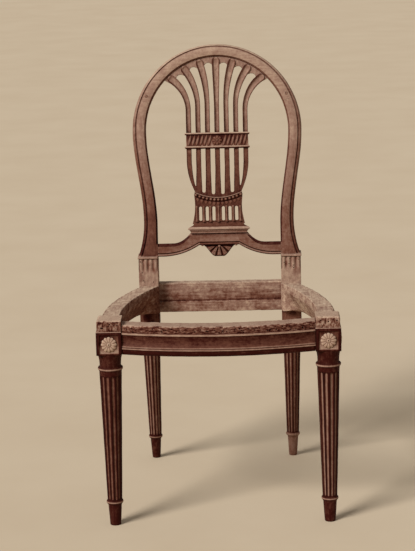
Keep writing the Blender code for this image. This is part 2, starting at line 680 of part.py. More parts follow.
def round_end(start, before_start, end, before_end):
    """A round cap from start to end, leaving each along the line from the point before it."""
    start, end = Vector(start), Vector(end)
    reach = (end - start).length * 2 / 3
    leave = start + (start - Vector(before_start)).normalized() * reach
    arrive = end + (end - Vector(before_end)).normalized() * reach
    points = []
    for share in spread(0.0, 1.0, CAP_STEPS)[1:-1]:
        rest = 1 - share
        point = rest ** 3 * start + 3 * rest ** 2 * share * leave
        point += 3 * rest * share ** 2 * arrive + share ** 3 * end
        points.append((point.x, point.y))
    return points


def fan_outline():
    """The ribs above the band and the web that joins their heads, as one comb-shaped outline."""
    last = RIBS_PER_SIDE
    slot_stop = WEB_DEPTH + (RIB_SPACING - RIB_WIDTH) / 2
    outline = rib_edge(-last, -1, WEB_DEPTH)
    half_fan = FAN_HALF_ANGLE + FAN_EDGE_MARGIN
    for fan in spread(-half_fan, half_fan, 3 * CURVE_STEPS):
        outline.append(rib_head(fan / RIB_FAN_ANGLE))
    outline += rib_edge(last, 1, WEB_DEPTH)[::-1]
    for number in range(last, -last, -1):
        right = rib_edge(number, -1, slot_stop)
        left = rib_edge(number - 1, 1, slot_stop)
        outline += right + round_end(right[-1], right[-2], left[-1], left[-2]) + left[::-1]
    return outline


def bowl_half_width(height):
    drop = max(BOWL_SHOULDER - height, 0.0) / (BOWL_SHOULDER - BOWL_BOTTOM)
    return BAND_HALF_WIDTH - (BAND_HALF_WIDTH - BOWL_BOTTOM_HALF_WIDTH) * drop ** 2


def collar_height(x):
    return PLINTH_TOP + COLLAR_RISE + COLLAR_SAG * (x / COLLAR_HALF_WIDTH) ** 2


def bowl_outline():
    """The ribs below the band, gathered into the bowl above the collar."""
    top = (BAND_BOTTOM + BAND_TOP) / 2
    heights = [top] + spread(BOWL_SHOULDER, BOWL_BOTTOM, CURVE_STEPS)
    left = [(-bowl_half_width(height), height) for height in heights]
    right = [(-x, height) for x, height in left[::-1]]
    under = []
    for x in spread(-BOWL_BOTTOM_HALF_WIDTH, BOWL_BOTTOM_HALF_WIDTH, CURVE_STEPS):
        under.append((x, collar_height(x) - COLLAR_WIDTH / 4))
    outline = left + under[1:-1] + right
    for gap in range(RIBS_PER_SIDE - 1, -RIBS_PER_SIDE - 1, -1):
        outline += bowl_slot(gap, top)
    return outline


def slot_foot(inner, outer):
    """Height where a slot of the bowl starts to round off: above the rim, and still a little wide."""
    rim = collar_height((inner + outer) / 2) + BOWL_RIM + (outer - inner) / 2
    narrow = inner + SLOT_TIP + RIB_WIDTH
    if narrow < BOWL_BOTTOM_HALF_WIDTH:
        return rim
    drop = math.sqrt((BAND_HALF_WIDTH - narrow) / (BAND_HALF_WIDTH - BOWL_BOTTOM_HALF_WIDTH))
    return max(rim, BOWL_SHOULDER - drop * (BOWL_SHOULDER - BOWL_BOTTOM))


def bowl_slot(gap, top):
    """A slot between two ribs, walked from its right edge down and round to its left edge."""
    number = gap if gap >= 0 else -gap - 1
    inner = number * RIB_SPACING + RIB_WIDTH / 2
    outer = (number + 1) * RIB_SPACING - RIB_WIDTH / 2
    foot = slot_foot(inner, outer)
    edge = [(outer, top)]
    for height in spread(BOWL_SHOULDER, foot, CURVE_STEPS // 2):
        edge.append((min(outer, bowl_half_width(height) - RIB_WIDTH), height))
    cap = round_end(edge[-1], edge[-2], (inner, foot), (inner, top))
    points = edge + cap + [(inner, foot), (inner, top)]
    if gap < 0:
        points = [(-x, height) for x, height in points[::-1]]
    return points


def collar_outline():
    low, high = [], []
    for x in spread(-COLLAR_HALF_WIDTH, COLLAR_HALF_WIDTH, 2 * CURVE_STEPS):
        low.append((x, collar_height(x) - COLLAR_WIDTH / 2))
        high.append((x, collar_height(x) + COLLAR_WIDTH / 2))
    return low + high[::-1]


def basket_outline():
    """The little colonnade below the collar, open downwards into its base."""
    bottom = PLINTH_TOP + BASE_HEIGHT / 2
    outline = []
    for x in spread(-BASKET_HALF_WIDTH, BASKET_HALF_WIDTH, CURVE_STEPS):
        outline.append((x, collar_height(x) + COLLAR_WIDTH / 4))
    outline = outline[::-1]
    outline.append((-BASKET_HALF_WIDTH, bottom))
    half = BASKET_SLOT_WIDTH / 2
    straight = PLINTH_TOP + BASKET_SLOT_RISE - half
    right_slots = [BASKET_FIRST_SLOT + index * BASKET_SLOT_SPACING for index in range(BASKET_SLOTS_PER_SIDE)]
    left_slots = [-x for x in right_slots[::-1]]
    for middle in left_slots + right_slots:
        left, right = (middle - half, straight), (middle + half, straight)
        cap = round_end(left, (left[0], bottom), right, (right[0], bottom))
        outline += [(left[0], bottom), left] + cap + [right, (right[0], bottom)]
    outline.append((BASKET_HALF_WIDTH, bottom))
    return outline


def splat_tongue(name, margin, material, parent):
    """The tongue along the top of the splat, or the groove for it where margin is not 0."""
    half_angle = FAN_HALF_ANGLE - TONGUE_END_MARGIN + margin / HOOP_INNER_WIDEST
    outline = []
    for inset, angles in ((-ROOT, (-half_angle, half_angle)),
                          (TONGUE_DEPTH + margin, (half_angle, -half_angle))):
        for angle in spread(*angles, 2 * CURVE_STEPS):
            x = (HOOP_INNER_WIDEST + inset) * math.sin(angle)
            z = HOOP_SPRING_HEIGHT + (HOOP_INNER_RISE + inset) * math.cos(angle)
            outline.append((x, z))
    half = TONGUE_THICKNESS / 2 + margin
    return prism(name, outline, SPLAT_MIDDLE - half, SPLAT_MIDDLE + half, material, parent)


def splat_tenon():
    half = SPLAT_TENON_THICKNESS / 2
    low = (-SPLAT_TENON_HALF_WIDTH, SPLAT_MIDDLE - half, PLINTH_TOP - SPLAT_TENON_LENGTH)
    high = (SPLAT_TENON_HALF_WIDTH, SPLAT_MIDDLE + half, PLINTH_TOP + BASE_HEIGHT / 2)
    return low, high


def splat(name, material, parent):
    front, back = SPLAT_SETBACK, SPLAT_SETBACK + SPLAT_THICKNESS
    panel = prism(name, fan_outline(), front, back, material, parent)

    def bar(label, half_width, low, high, proud):
        return box(f"{name}.{label}", (-half_width, front - proud, low), (half_width, back + proud, high),
                   material, parent)

    fillet = BAND_FILLET_HEIGHT
    wide = BAND_HALF_WIDTH + BAND_FILLET_PROUD
    fillet_proud = BAND_PROUD + BAND_FILLET_PROUD
    unite(panel, prism(name + ".bowl", bowl_outline(), front, back, material, parent))
    unite(panel, bar("band", BAND_HALF_WIDTH, BAND_BOTTOM + fillet / 2, BAND_TOP - fillet / 2, BAND_PROUD))
    unite(panel, bar("band_fillet_low", wide, BAND_BOTTOM, BAND_BOTTOM + fillet, fillet_proud))
    unite(panel, bar("band_fillet_high", wide, BAND_TOP - fillet, BAND_TOP, fillet_proud))
    unite(panel, prism(name + ".basket", basket_outline(), front + BASKET_SETBACK, back - BASKET_SETBACK,
                       material, parent))
    unite(panel, prism(name + ".collar", collar_outline(), front - COLLAR_PROUD, back + COLLAR_PROUD / 2,
                       material, parent))
    unite(panel, bar("base", BASE_HALF_WIDTH, PLINTH_TOP + CLEARANCE, PLINTH_TOP + BASE_HEIGHT, BASE_PROUD))
    unite(panel, box(name + ".tenon", *splat_tenon(), material, parent))
    unite(panel, splat_tongue(name + ".tongue", 0.0, material, parent))
    return panel


# Seat rails

def rail_profile(rail_height):
    """(depth in from the outermost line, height above the underside) down the moulded face."""
    bead_middle = (BASE_FILLET_TOP + BEAD_TOP) / 2
    hollow_middle = (BEAD_TOP + HOLLOW_TOP) / 2
    return [(TOP_EDGE_DEPTH, rail_height), (REBATE_DEPTH, rail_height - TOP_EDGE_DROP),
            (REBATE_DEPTH, UPPER_FILLET_TOP), (BASE_FILLET_DEPTH / 2, UPPER_FILLET_TOP),
            (BASE_FILLET_DEPTH / 2, HOLLOW_TOP), (HOLLOW_DEPTH, hollow_middle),
            (BASE_FILLET_DEPTH, BEAD_TOP), (0.0, bead_middle),
            (BASE_FILLET_DEPTH, BASE_FILLET_TOP), (BASE_FILLET_DEPTH, 0.0)]


def front_rail_face(x):
    """Y of the outermost line of the bowed front rail."""
    return BLOCK_FRONT_Y + FRONT_RAIL_SETBACK - FRONT_RAIL_BOW * (1 - (x / BLOCK_INNER_X) ** 2)


def front_tenon():
    middle = FRONT_LEG_Y - TENON_OFFSET
    low = (BLOCK_INNER_X - CLEARANCE, middle - TENON_THICKNESS / 2, FRONT_RAIL_BOTTOM + TENON_MARGIN)
    high = (BLOCK_INNER_X + FRONT_TENON_LENGTH, middle + TENON_THICKNESS / 2,
            FRONT_RAIL_TOP - FRONT_TENON_BELOW_TOP)
    return low, high


def front_seat_rail(name, material):
    end = BLOCK_INNER_X - CLEARANCE
    profile = rail_profile(FRONT_RAIL_HEIGHT)
    rings = []
    for x in spread(-end, end, RAIL_STEPS):
        face = front_rail_face(x)
        inner = face + FRONT_RAIL_THICKNESS
        ring = [Vector((x, face + depth, FRONT_RAIL_BOTTOM + height)) for depth, height in profile]
        ring += [Vector((x, inner, FRONT_RAIL_BOTTOM)), Vector((x, inner, FRONT_RAIL_TOP))]
        rings.append(ring)
    rail = loft(name, rings, material)
    for side in (-1, 1):
        low, high = front_tenon()
        rooted = (low[0] - ROOT, low[1], low[2])
        unite(rail, side_box(f"{name}.tenon_{side}", side, rooted, high, material))
        cut(rail, peg_hole(f"{name}.peg_hole_{side}", front_peg(side), material))
    return rail


def side_rail_share(y):
    return (y - BLOCK_BACK_Y) / (POST_FRONT_Y - BLOCK_BACK_Y)


def side_rail_face(y):
    """X of the outermost line of a side rail, which curves in towards the rear post."""
    front = BLOCK_OUTER_X - SIDE_RAIL_SETBACK
    return front - (front - POST_OUTER_X) * side_rail_share(y) ** 2


def side_rail_top(y):
    return SEAT_FRONT_TOP + (SEAT_REAR_TOP - SEAT_FRONT_TOP) * side_rail_share(y)


def side_rail_height(y):
    return SIDE_RAIL_HEIGHT - SIDE_RAIL_TAPER * side_rail_share(y)


def side_front_tenon():
    bottom = SEAT_FRONT_TOP - SIDE_RAIL_HEIGHT
    middle = FRONT_LEG_X + TENON_OFFSET
    low = (middle - TENON_THICKNESS / 2, BLOCK_BACK_Y - SIDE_TENON_FRONT_LENGTH, bottom + TENON_MARGIN)
    high = (middle + TENON_THICKNESS / 2, BLOCK_BACK_Y + CLEARANCE, SEAT_FRONT_TOP - TENON_MARGIN / 2)
    return low, high


def side_rear_tenon():
    bottom = SEAT_REAR_TOP - side_rail_height(POST_FRONT_Y)
    low = (REAR_LEG_X - TENON_THICKNESS / 2, POST_FRONT_Y - CLEARANCE, bottom + TENON_MARGIN)
    high = (REAR_LEG_X + TENON_THICKNESS / 2, POST_FRONT_Y + SIDE_TENON_REAR_LENGTH,
            SEAT_REAR_TOP - TENON_MARGIN)
    return low, high


def side_rail_stations():
    cut_start, cut_end = BLOCK_BACK_Y + SIDE_RAIL_BUTT, POST_FRONT_Y - SIDE_RAIL_BUTT
    middle = spread(cut_start + SIDE_RAIL_CUT_RUN, cut_end - SIDE_RAIL_CUT_RUN, RAIL_STEPS)
    return [BLOCK_BACK_Y + CLEARANCE, cut_start, *middle, cut_end, POST_FRONT_Y - CLEARANCE]


def side_rail_cut(y):
    """Share of the cut under a side rail's inner lip; the butts at both ends keep the full section."""
    run = min(y - BLOCK_BACK_Y, POST_FRONT_Y - y) - SIDE_RAIL_BUTT
    return min(max(run / SIDE_RAIL_CUT_RUN, 0.0), 1.0)


def side_seat_rail(side, name, material):
    rings = []
    for y in side_rail_stations():
        face = side_rail_face(y)
        slope = (side_rail_face(y + CLEARANCE) - face) / CLEARANCE
        stretch = math.hypot(1.0, slope)
        inner = face - SIDE_RAIL_THICKNESS * stretch
        top = side_rail_top(y)
        height_here = side_rail_height(y)
        bottom = top - height_here
        ring = [Vector((side * (face - depth * stretch), y, bottom + height))
                for depth, height in rail_profile(height_here)]
        share = side_rail_cut(y)
        under = inner + SIDE_RAIL_CUT * share * stretch
        ring += [Vector((side * under, y, bottom + SIDE_RAIL_CUT_RISE * share)),
                 Vector((side * inner, y, top - SIDE_RAIL_LIP)), Vector((side * inner, y, top))]
        rings.append(ring)
    rail = loft(name, rings, material)
    low, high = side_front_tenon()
    rooted = (high[0], high[1] + ROOT, high[2])
    unite(rail, side_box(name + ".front_tenon", side, low, rooted, material))
    low, high = side_rear_tenon()
    rooted = (low[0], low[1] - ROOT, low[2])
    unite(rail, side_box(name + ".rear_tenon", side, rooted, high, material))
    cut(rail, peg_hole(name + ".front_peg_hole", side_front_peg(side), material))
    for index, ends in enumerate(side_rear_pegs(side)):
        cut(rail, peg_hole(f"{name}.rear_peg_hole_{index}", ends, material))
    return rail


def rear_tenon():
    bottom = SEAT_REAR_TOP - REAR_RAIL_HEIGHT
    middle = REAR_RAIL_FRONT_Y + REAR_RAIL_THICKNESS / 2
    low = (POST_INNER_X - CLEARANCE, middle - TENON_THICKNESS / 2, bottom + TENON_MARGIN)
    high = (POST_INNER_X + REAR_TENON_LENGTH, middle + TENON_THICKNESS / 2, SEAT_REAR_TOP - TENON_MARGIN)
    return low, high


def rear_seat_rail(name, material):
    bottom = SEAT_REAR_TOP - REAR_RAIL_HEIGHT
    ledge = bottom + REAR_RAIL_STEP_HEIGHT
    step_y = REAR_RAIL_FRONT_Y - REAR_RAIL_STEP
    outline = ((POST_BACK_Y, bottom), (POST_BACK_Y, SEAT_REAR_TOP), (REAR_RAIL_FRONT_Y, SEAT_REAR_TOP),
               (REAR_RAIL_FRONT_Y, ledge), (step_y, ledge), (step_y, bottom))
    end = POST_INNER_X - CLEARANCE
    rail = loft(name, [[Vector((x, y, z)) for y, z in outline] for x in (-end, end)], material)
    for side in (-1, 1):
        low, high = rear_tenon()
        rooted = (low[0] - ROOT, low[1], low[2])
        unite(rail, side_box(f"{name}.tenon_{side}", side, rooted, high, material))
        for index, ends in enumerate(rear_pegs(side)):
            cut(rail, peg_hole(f"{name}.peg_hole_{side}_{index}", ends, material))
    return rail


# Pegs, each as (outer end, inner end)

def front_peg(side):
    x = side * (BLOCK_INNER_X + FRONT_TENON_LENGTH / 2)
    z = FRONT_RAIL_TOP - FRONT_PEG_BELOW_TOP
    inner = FRONT_LEG_Y - TENON_OFFSET + TENON_THICKNESS / 2 + BLIND_END
    return (x, BLOCK_FRONT_Y + FRONT_STUB_INSET, z), (x, inner, z)


def side_front_peg(side):
    y = BLOCK_BACK_Y - SIDE_TENON_FRONT_LENGTH / 2
    z = SEAT_FRONT_TOP - SIDE_PEG_BELOW_TOP
    inner = FRONT_LEG_X + TENON_OFFSET - TENON_THICKNESS / 2 - BLIND_END
    return (side * (BLOCK_OUTER_X - FRONT_STUB_INSET), y, z), (side * inner, y, z)


def side_rear_pegs(side):
    y = POST_FRONT_Y + SIDE_TENON_REAR_LENGTH / 2
    middle = SEAT_REAR_TOP - side_rail_height(POST_FRONT_Y) / 2
    inner = REAR_LEG_X - TENON_THICKNESS / 2 - BLIND_END
    heights = (middle - REAR_PEG_SPACING / 2, middle + REAR_PEG_SPACING / 2)
    return [((side * POST_OUTER_X, y, z), (side * inner, y, z)) for z in heights]


def rear_pegs(side):
    x = side * (POST_INNER_X + REAR_TENON_LENGTH / 2)
    middle = SEAT_REAR_TOP - REAR_RAIL_HEIGHT / 2
    inner = REAR_RAIL_FRONT_Y + REAR_RAIL_THICKNESS / 2 - TENON_THICKNESS / 2 - BLIND_END
    heights = (middle - REAR_PEG_SPACING / 2, middle + REAR_PEG_SPACING / 2)
    return [((x, POST_BACK_Y, z), (x, inner, z)) for z in heights]


def bottom_peg(side):
    x = side * (HOOP_INNER_WAIST + BOTTOM_TENON_LENGTH / 2)
    z = BOTTOM_RAIL_END_HEIGHT / 2
    front = BOTTOM_RAIL_SETBACK + (BOTTOM_RAIL_THICKNESS - BOTTOM_TENON_THICKNESS) / 2 - BLIND_END
    return tuple(BACK_FRAME @ Vector((x, depth, z)) for depth in (HOOP_THICKNESS, front))


def crest_peg(side):
    """Right through the hoop, half way up the tenon of the stile."""
    angle = CREST_JOINT_ANGLE + CREST_TENON_LENGTH / 2 / HOOP_WIDEST_HALF_WIDTH
    x, z = arch_point(angle, 0.5)
    return tuple(BACK_FRAME @ Vector((side * x, depth, z)) for depth in (HOOP_THICKNESS, CREST_PEG_INSET))


def peg_hole(name, ends, material, past_end=CLEARANCE):
    """Cutter for a peg's hole, open past the peg's outer end."""
    outer, inner = Vector(ends[0]), Vector(ends[1])
    along = (outer - inner).normalized()
    rings = rod_rings(outer + along * ROOT, inner - along * past_end, PEG_RADIUS + CLEARANCE)
    return loft(name, rings, material)


def peg(name, ends, material):
    return loft(name, rod_rings(*ends, PEG_RADIUS), material)


# Rosettes

def rosette(name, centre, outward, material):
    """A daisy seated in its sunk panel; centre is on the panel's floor."""
    thickness = PANEL_DEPTH + ROSETTE_PROUD
    points = 2 * ROSETTE_PETALS
    rings = []
    for rise, share in ROSETTE_SECTION:
        ring = []
        for index in range(points):
            angle = 2 * math.pi * index / points
            notch = PETAL_NOTCH * share if index % 2 else 0.0
            reach = ROSETTE_RADIUS * share - notch
            ring.append(Vector((reach * math.cos(angle), reach * math.sin(angle),
                                CLEARANCE + rise * (thickness - CLEARANCE))))
        rings.append(ring)
    piece = loft(name, rings, material)
    piece.location = centre
    piece.rotation_mode = "QUATERNION"
    piece.rotation_quaternion = Vector(outward).to_track_quat("Z", "Y")
    return piece


def build():
    clear_scene()
    stained = wood("stained_beech", (0.120, 0.050, 0.030), 0.42)
    raw = wood("bare_beech", (0.330, 0.215, 0.135), 0.75)
    carved = wood("carved_beech", (0.270, 0.165, 0.105), 0.55)
    peg_wood = wood("peg_oak", (0.210, 0.125, 0.070), 0.65)

    back_frame = bpy.data.objects.new("back_frame", None)
    back_frame.matrix_world = BACK_FRAME
    bpy.context.scene.collection.objects.link(back_frame)
    bpy.context.view_layer.update()

    sides = ((-1, "left"), (1, "right"))
    for side, word in sides:
        front_leg(side, f"front_leg_{word}", stained)
        rear_leg(side, f"rear_leg_{word}", stained)
        side_seat_rail(side, f"side_seat_rail_{word}", raw)
        front_floor = (side * FRONT_LEG_X, BLOCK_FRONT_Y + PANEL_DEPTH, PANEL_CENTRE_Z)
        rosette(f"front_rosette_{word}", front_floor, (0, -1, 0), carved)
        side_floor = (side * (BLOCK_OUTER_X - PANEL_DEPTH), FRONT_LEG_Y, PANEL_CENTRE_Z)
        rosette(f"side_rosette_{word}", side_floor, (side, 0, 0), carved)
        peg(f"front_rail_peg_{word}", front_peg(side), peg_wood)
        peg(f"side_rail_front_peg_{word}", side_front_peg(side), peg_wood)
        peg(f"bottom_rail_peg_{word}", bottom_peg(side), peg_wood)
        peg(f"crest_peg_{word}", crest_peg(side), peg_wood)
        for level, ends in zip(("lower", "upper"), side_rear_pegs(side)):
            peg(f"side_rail_rear_peg_{word}_{level}", ends, peg_wood)
        for level, ends in zip(("lower", "upper"), rear_pegs(side)):
            peg(f"rear_rail_peg_{word}_{level}", ends, peg_wood)
    front_seat_rail("front_seat_rail", stained)
    rear_seat_rail("rear_seat_rail", raw)
    crest_rail("crest_rail", stained, back_frame)
    bottom_rail("back_bottom_rail", stained, back_frame)
    splat("splat", stained, back_frame)


build()
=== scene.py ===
"""Looks of a balloon-back side chair in bare wood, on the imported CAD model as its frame."""
import itertools
import math
from collections import namedtuple

import bmesh
import bpy
import numpy as np
from mathutils import Matrix, Vector


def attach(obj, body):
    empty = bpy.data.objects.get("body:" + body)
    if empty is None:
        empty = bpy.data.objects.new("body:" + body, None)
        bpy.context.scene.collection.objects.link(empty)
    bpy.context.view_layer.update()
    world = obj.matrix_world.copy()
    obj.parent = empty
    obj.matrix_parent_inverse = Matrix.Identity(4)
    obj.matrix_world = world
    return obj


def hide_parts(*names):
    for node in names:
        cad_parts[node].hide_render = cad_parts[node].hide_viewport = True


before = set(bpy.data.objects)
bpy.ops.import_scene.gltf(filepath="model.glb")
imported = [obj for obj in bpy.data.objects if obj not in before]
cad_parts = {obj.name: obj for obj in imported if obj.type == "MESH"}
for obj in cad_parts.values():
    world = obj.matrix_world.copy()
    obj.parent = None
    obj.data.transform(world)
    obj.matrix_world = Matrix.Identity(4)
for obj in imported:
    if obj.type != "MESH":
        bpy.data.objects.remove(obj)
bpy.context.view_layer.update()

SIDES = (("left", -1), ("right", 1))
QUARTER = math.pi / 2
FULL_TURN = 2 * math.pi

# Lengths are in metres, as in the CAD source. The chair faces -Y.
SEAT_FRONT_TOP = 0.427
SEAT_REAR_TOP = 0.416
FRONT_RAIL_TOP = 0.4166
FRONT_RAIL_HEIGHT = 0.0598
FRONT_RAIL_BOTTOM = FRONT_RAIL_TOP - FRONT_RAIL_HEIGHT

FRONT_LEG_X = 0.2165
FRONT_LEG_Y = -0.20725
FRONT_BLOCK_HALF = 0.0253
FRONT_BLOCK_BOTTOM = 0.3566
FRONT_BLOCK_TOP = 0.4045
FRONT_BLOCK_HEIGHT = FRONT_BLOCK_TOP - FRONT_BLOCK_BOTTOM
STUB_INSET = 0.002
STUB_EDGE = 0.0032
PANEL_HALF_WIDTH = 0.0180
PANEL_HALF_HEIGHT = 0.01775
PANEL_DEPTH = 0.003
PANEL_SPLAY = 0.0016
PANEL_DROP = 0.0016
PANEL_Z = (FRONT_BLOCK_BOTTOM + FRONT_BLOCK_TOP) / 2 - PANEL_DROP
ROSETTE_RADIUS = 0.0153
ROSETTE_HEIGHT = 0.0056
ROSETTE_PETALS = 12
STUB_PALE_BOTTOM = SEAT_FRONT_TOP - 0.0022

REAR_LEG_X = 0.1528
REAR_POST_Y = 0.16375
REAR_LEG_RAKE = 0.089
REAR_BLOCK_HALF_WIDTH = 0.0208
REAR_BLOCK_HALF_DEPTH = 0.023
REAR_BLOCK_BOTTOM = 0.326
REAR_BLOCK_TOP = 0.478
LEDGE_HEIGHT = 0.0045
LEDGE_PROUD = 0.0016
BLOCK_FLUTES = 4
BLOCK_FLUTE_DEPTH = 0.0022
BLOCK_FLUTE_BOTTOM = 0.442
BLOCK_FLUTE_RUN = 0.012
# Painted shade in the rear blocks' flute valleys.
BLOCK_FLUTE_SHADE = -0.34
BLOCK_STAIN_SHADE = -0.45
BLOCK_TEAR_TOP = 0.434
BLOCK_TEAR_RUN = 0.010
BLOCK_TEAR_DEPTH = 0.0006
RAW_BLOCK_BOTTOM = SEAT_REAR_TOP - 0.006

FOOT_RING_HEIGHT = 0.0155
FOOT_EASE = 0.0018
COLLAR_HEIGHT = 0.0125
PLAIN_SHAFT_HEIGHT = 0.0055
NECK_INSET = 0.0006
NECK_FLARE_POWER = 2.2
FLUTE_START = 0.002
FLUTES = 12
FLUTE_HALF_ANGLE = math.radians(10.4)
FLUTE_ACROSS = 9
FILLET_ACROSS = 4
# Lightening of the leg flutes: dust in them and painted light, set apart by side.
FRONT_FLUTE_DUST_AND_LIGHT = 0.70
FRONT_FLUTE_DUST_AND_LIGHT_BY_SIDE = 0.12
REAR_FLUTE_DUST_AND_LIGHT = 0.65
REAR_FLUTE_DUST_AND_LIGHT_BY_SIDE = -0.05

BLOCK_FRONT_Y = FRONT_LEG_Y - FRONT_BLOCK_HALF
BLOCK_BACK_Y = FRONT_LEG_Y + FRONT_BLOCK_HALF
BLOCK_INNER_X = FRONT_LEG_X - FRONT_BLOCK_HALF
BLOCK_OUTER_X = FRONT_LEG_X + FRONT_BLOCK_HALF
POST_FRONT_Y = REAR_POST_Y - REAR_BLOCK_HALF_DEPTH
POST_BACK_Y = REAR_POST_Y + REAR_BLOCK_HALF_DEPTH
POST_INNER_X = REAR_LEG_X - REAR_BLOCK_HALF_WIDTH
POST_OUTER_X = REAR_LEG_X + REAR_BLOCK_HALF_WIDTH
CLEARANCE = 0.0003

FRONT_RAIL_THICKNESS = 0.042
FRONT_RAIL_BOW = 0.0307
FRONT_RAIL_SETBACK = 0.0015
SIDE_RAIL_THICKNESS = 0.040
SIDE_RAIL_SETBACK = 0.0053
SIDE_RAIL_HEIGHT = 0.0685
SIDE_RAIL_TAPER = 0.0095
SIDE_RAIL_CUT = 0.0220
SIDE_RAIL_CUT_RISE = 0.0080
SIDE_RAIL_LIP = 0.0160
SIDE_RAIL_BUTT = 0.0100
SIDE_RAIL_CUT_RUN = 0.0240
REAR_RAIL_THICKNESS = 0.024
REAR_RAIL_BOTTOM = 0.3535
REAR_RAIL_STEP_TOP = 0.3765
REAR_RAIL_STEP = 0.004
RAIL_TOE = 0.0062
BASE_FILLET_TOP = 0.0108
BEAD_TOP = 0.0172
HOLLOW_TOP = 0.0412
UPPER_FILLET_TOP = 0.0453
HOLLOW_DEPTH = 0.0050
REBATE_DEPTH = 0.0045
TOP_EDGE_DEPTH = 0.0075
TOP_EDGE_DROP = 0.0050
FRONT_EDGE_HOLES = 70
FRONT_TOP_HOLES = 34
SIDE_EDGE_HOLES = 50
SIDE_TOP_HOLES = 34
REAR_TOP_HOLES = 26
TACK_RADIUS = 0.0012
LARGE_TACK_RADIUS = 0.0014
FINE_TACK_RADIUS = 0.0011
FINEST_TACK_RADIUS = 0.0010

BACK_RAKE = math.radians(10.8)
BACK_Y = 0.14775
BACK_FRAME = Matrix.Translation((0, BACK_Y, REAR_BLOCK_TOP)) @ Matrix.Rotation(-BACK_RAKE, 4, "X")
HOOP_THICKNESS = 0.024
HOOP_FOOT_HALF = 0.1744
HOOP_WAIST_HALF = 0.1606
HOOP_HALF = 0.1810
HOOP_INNER_WAIST_HALF = 0.132
HOOP_INNER_HALF = 0.1527
HOOP_WAIST_HEIGHT = 0.078
HOOP_INNER_WAIST_HEIGHT = 0.070
HOOP_SPRING = 0.2688
HOOP_RISE = 0.1839
HOOP_INNER_RISE = 0.1575
FOOT_FLARE_POWER = 2.2
CREST_JOINT = math.radians(22)
HOOP_STRIP = 0.0056
HOOP_STRIP_AT_CROWN = 0.0034
HOOP_QUIRK = 0.0010
HOOP_INNER_EDGE = 0.0030
HOOP_BACK_ROUND = 0.0035

BOTTOM_RAIL_END = 0.1317
BOTTOM_RAIL_FRONT = 0.001
BOTTOM_RAIL_THICKNESS = 0.0205
BOTTOM_RAIL_BACK = BOTTOM_RAIL_FRONT + BOTTOM_RAIL_THICKNESS
BOTTOM_RAIL_END_HEIGHT = 0.028
BOTTOM_HOLLOW_DROP = 0.0072
BOTTOM_SWELL_START = 0.100
BOTTOM_SWELL_END = 0.0605
BOTTOM_SWELL_RISE = 0.0225
BOTTOM_SWELL_POWER = 2.2
ARCH_START = 0.120
ARCH_END = 0.043
ARCH_RISE = 0.0230
ARCH_POWER = 2.1
PENDANT_START = 0.036
PENDANT_END = 0.0085
PENDANT_DROP = 0.0242
PENDANT_LOBE_ANGLE = 0.52
PENDANT_ROOT_DEPTH = 0.0062
PENDANT_LOBE_RISE = 0.0052
PENDANT_VEIN_DEPTH = 0.0012
BUTTON_RADIUS = 0.0032
SCROLL_RADIUS = 0.0034
PLINTH_TOP = 0.0645
PLINTH_HEIGHT = 0.014
PLINTH_HALF_WIDTH = 0.0605

SPLAT_FRONT = 0.004
SPLAT_THICKNESS = 0.014
SPLAT_BACK = SPLAT_FRONT + SPLAT_THICKNESS
SPLAT_PLATE_BACK = SPLAT_BACK - 0.0004
SPLAT_WEB_FRONT = 0.0066
RIBS = (-3, -2, -1, 0, 1, 2, 3)
RIB_SPACING = 0.0203
RIB_WIDTH = 0.0106
RIB_HEAD_WIDTH = 0.0165
RIB_HEAD_INSET = 0.0016
RIB_FAN_ANGLE = math.radians(14.2)
RIB_TURN_ANGLE = math.radians(20)
RIB_FRONT = 0.0036
RIB_SHOULDER = 0.0016
RIB_HOLLOW = 0.0034
FAN_EDGE_MARGIN = math.radians(3.6)
WEB_DEPTH = 0.0115
WEB_ROOT = 0.030
WEB_TOP = 0.0006
BAND_BOTTOM = 0.2296
BAND_TOP = 0.264
BAND_MIDDLE = (BAND_BOTTOM + BAND_TOP) / 2
BAND_HALF_WIDTH = 0.0662
BAND_FRONT = 0.001
BAND_BACK = SPLAT_BACK + 0.001
BAND_FILLET = 0.0055
BAND_LEAVES = 6
BAND_LEAF_SPACING = 0.0086
BAND_LEAF_START = 0.0162
BAND_LEAF_LEAN = 0.0062
BAND_LEAF_HALF = 0.0031
BAND_LEAF_RISE = 0.0026
BAND_FLOWER_RADIUS = 0.0102
BAND_FLOWER_HEIGHT = 0.0050
BAND_FLOWER_PETALS = 8
BOWL_SHOULDER = 0.205
BOWL_BOTTOM = 0.133
BOWL_BOTTOM_HALF = 0.0475
BOWL_RIM = 0.0102
BOWL_RIB_SPREAD = 0.0013
BOWL_SLOT_TOP = BAND_BOTTOM + 0.004
BOWL_FOOT_HALF = 0.046
CUP_FRONT = 0.0047
CUP_BOTTOM = 0.1335
CUP_BOTTOM_HALF = 0.0470
CUP_OVERLAP = 0.0006
SLOT_TAPER_RUN = 0.034
END_SLOT_HALF = 0.0026
END_SLOT_SHIFT = 0.0030
END_SLOT_RISE = 0.0085
COLLAR_HALF_WIDTH = 0.051
COLLAR_RISE = 0.121
COLLAR_SAG = 0.012
COLLAR_BEADS = 13
COLLAR_BEAD_RADIUS = 0.0034
BASKET_HALF_WIDTH = 0.052
BASKET_TOP_HALF = 0.049
BASKET_LOW = PLINTH_TOP + 0.004
BASKET_SLOTS = (0.0102, 0.0244, 0.0386)
BASKET_SLOT_HALF = 0.0033
BASKET_SLOT_RISE = 0.0412
COLUMN_BASE = 0.0066
DROP_SPACING = 0.0088
DROP_HALF = 0.0034
DROP_RISE = 0.0014
DROP_LENGTH = 0.0095
BASKET_FRONT = 0.0054
BASKET_BACK = SPLAT_BACK - 0.0008
SILL_FRONT = 0.0056
SILL_BACK = SPLAT_BACK - 0.0012
BASE_HALF_WIDTH = 0.053
BASE_TOP = PLINTH_TOP + 0.011

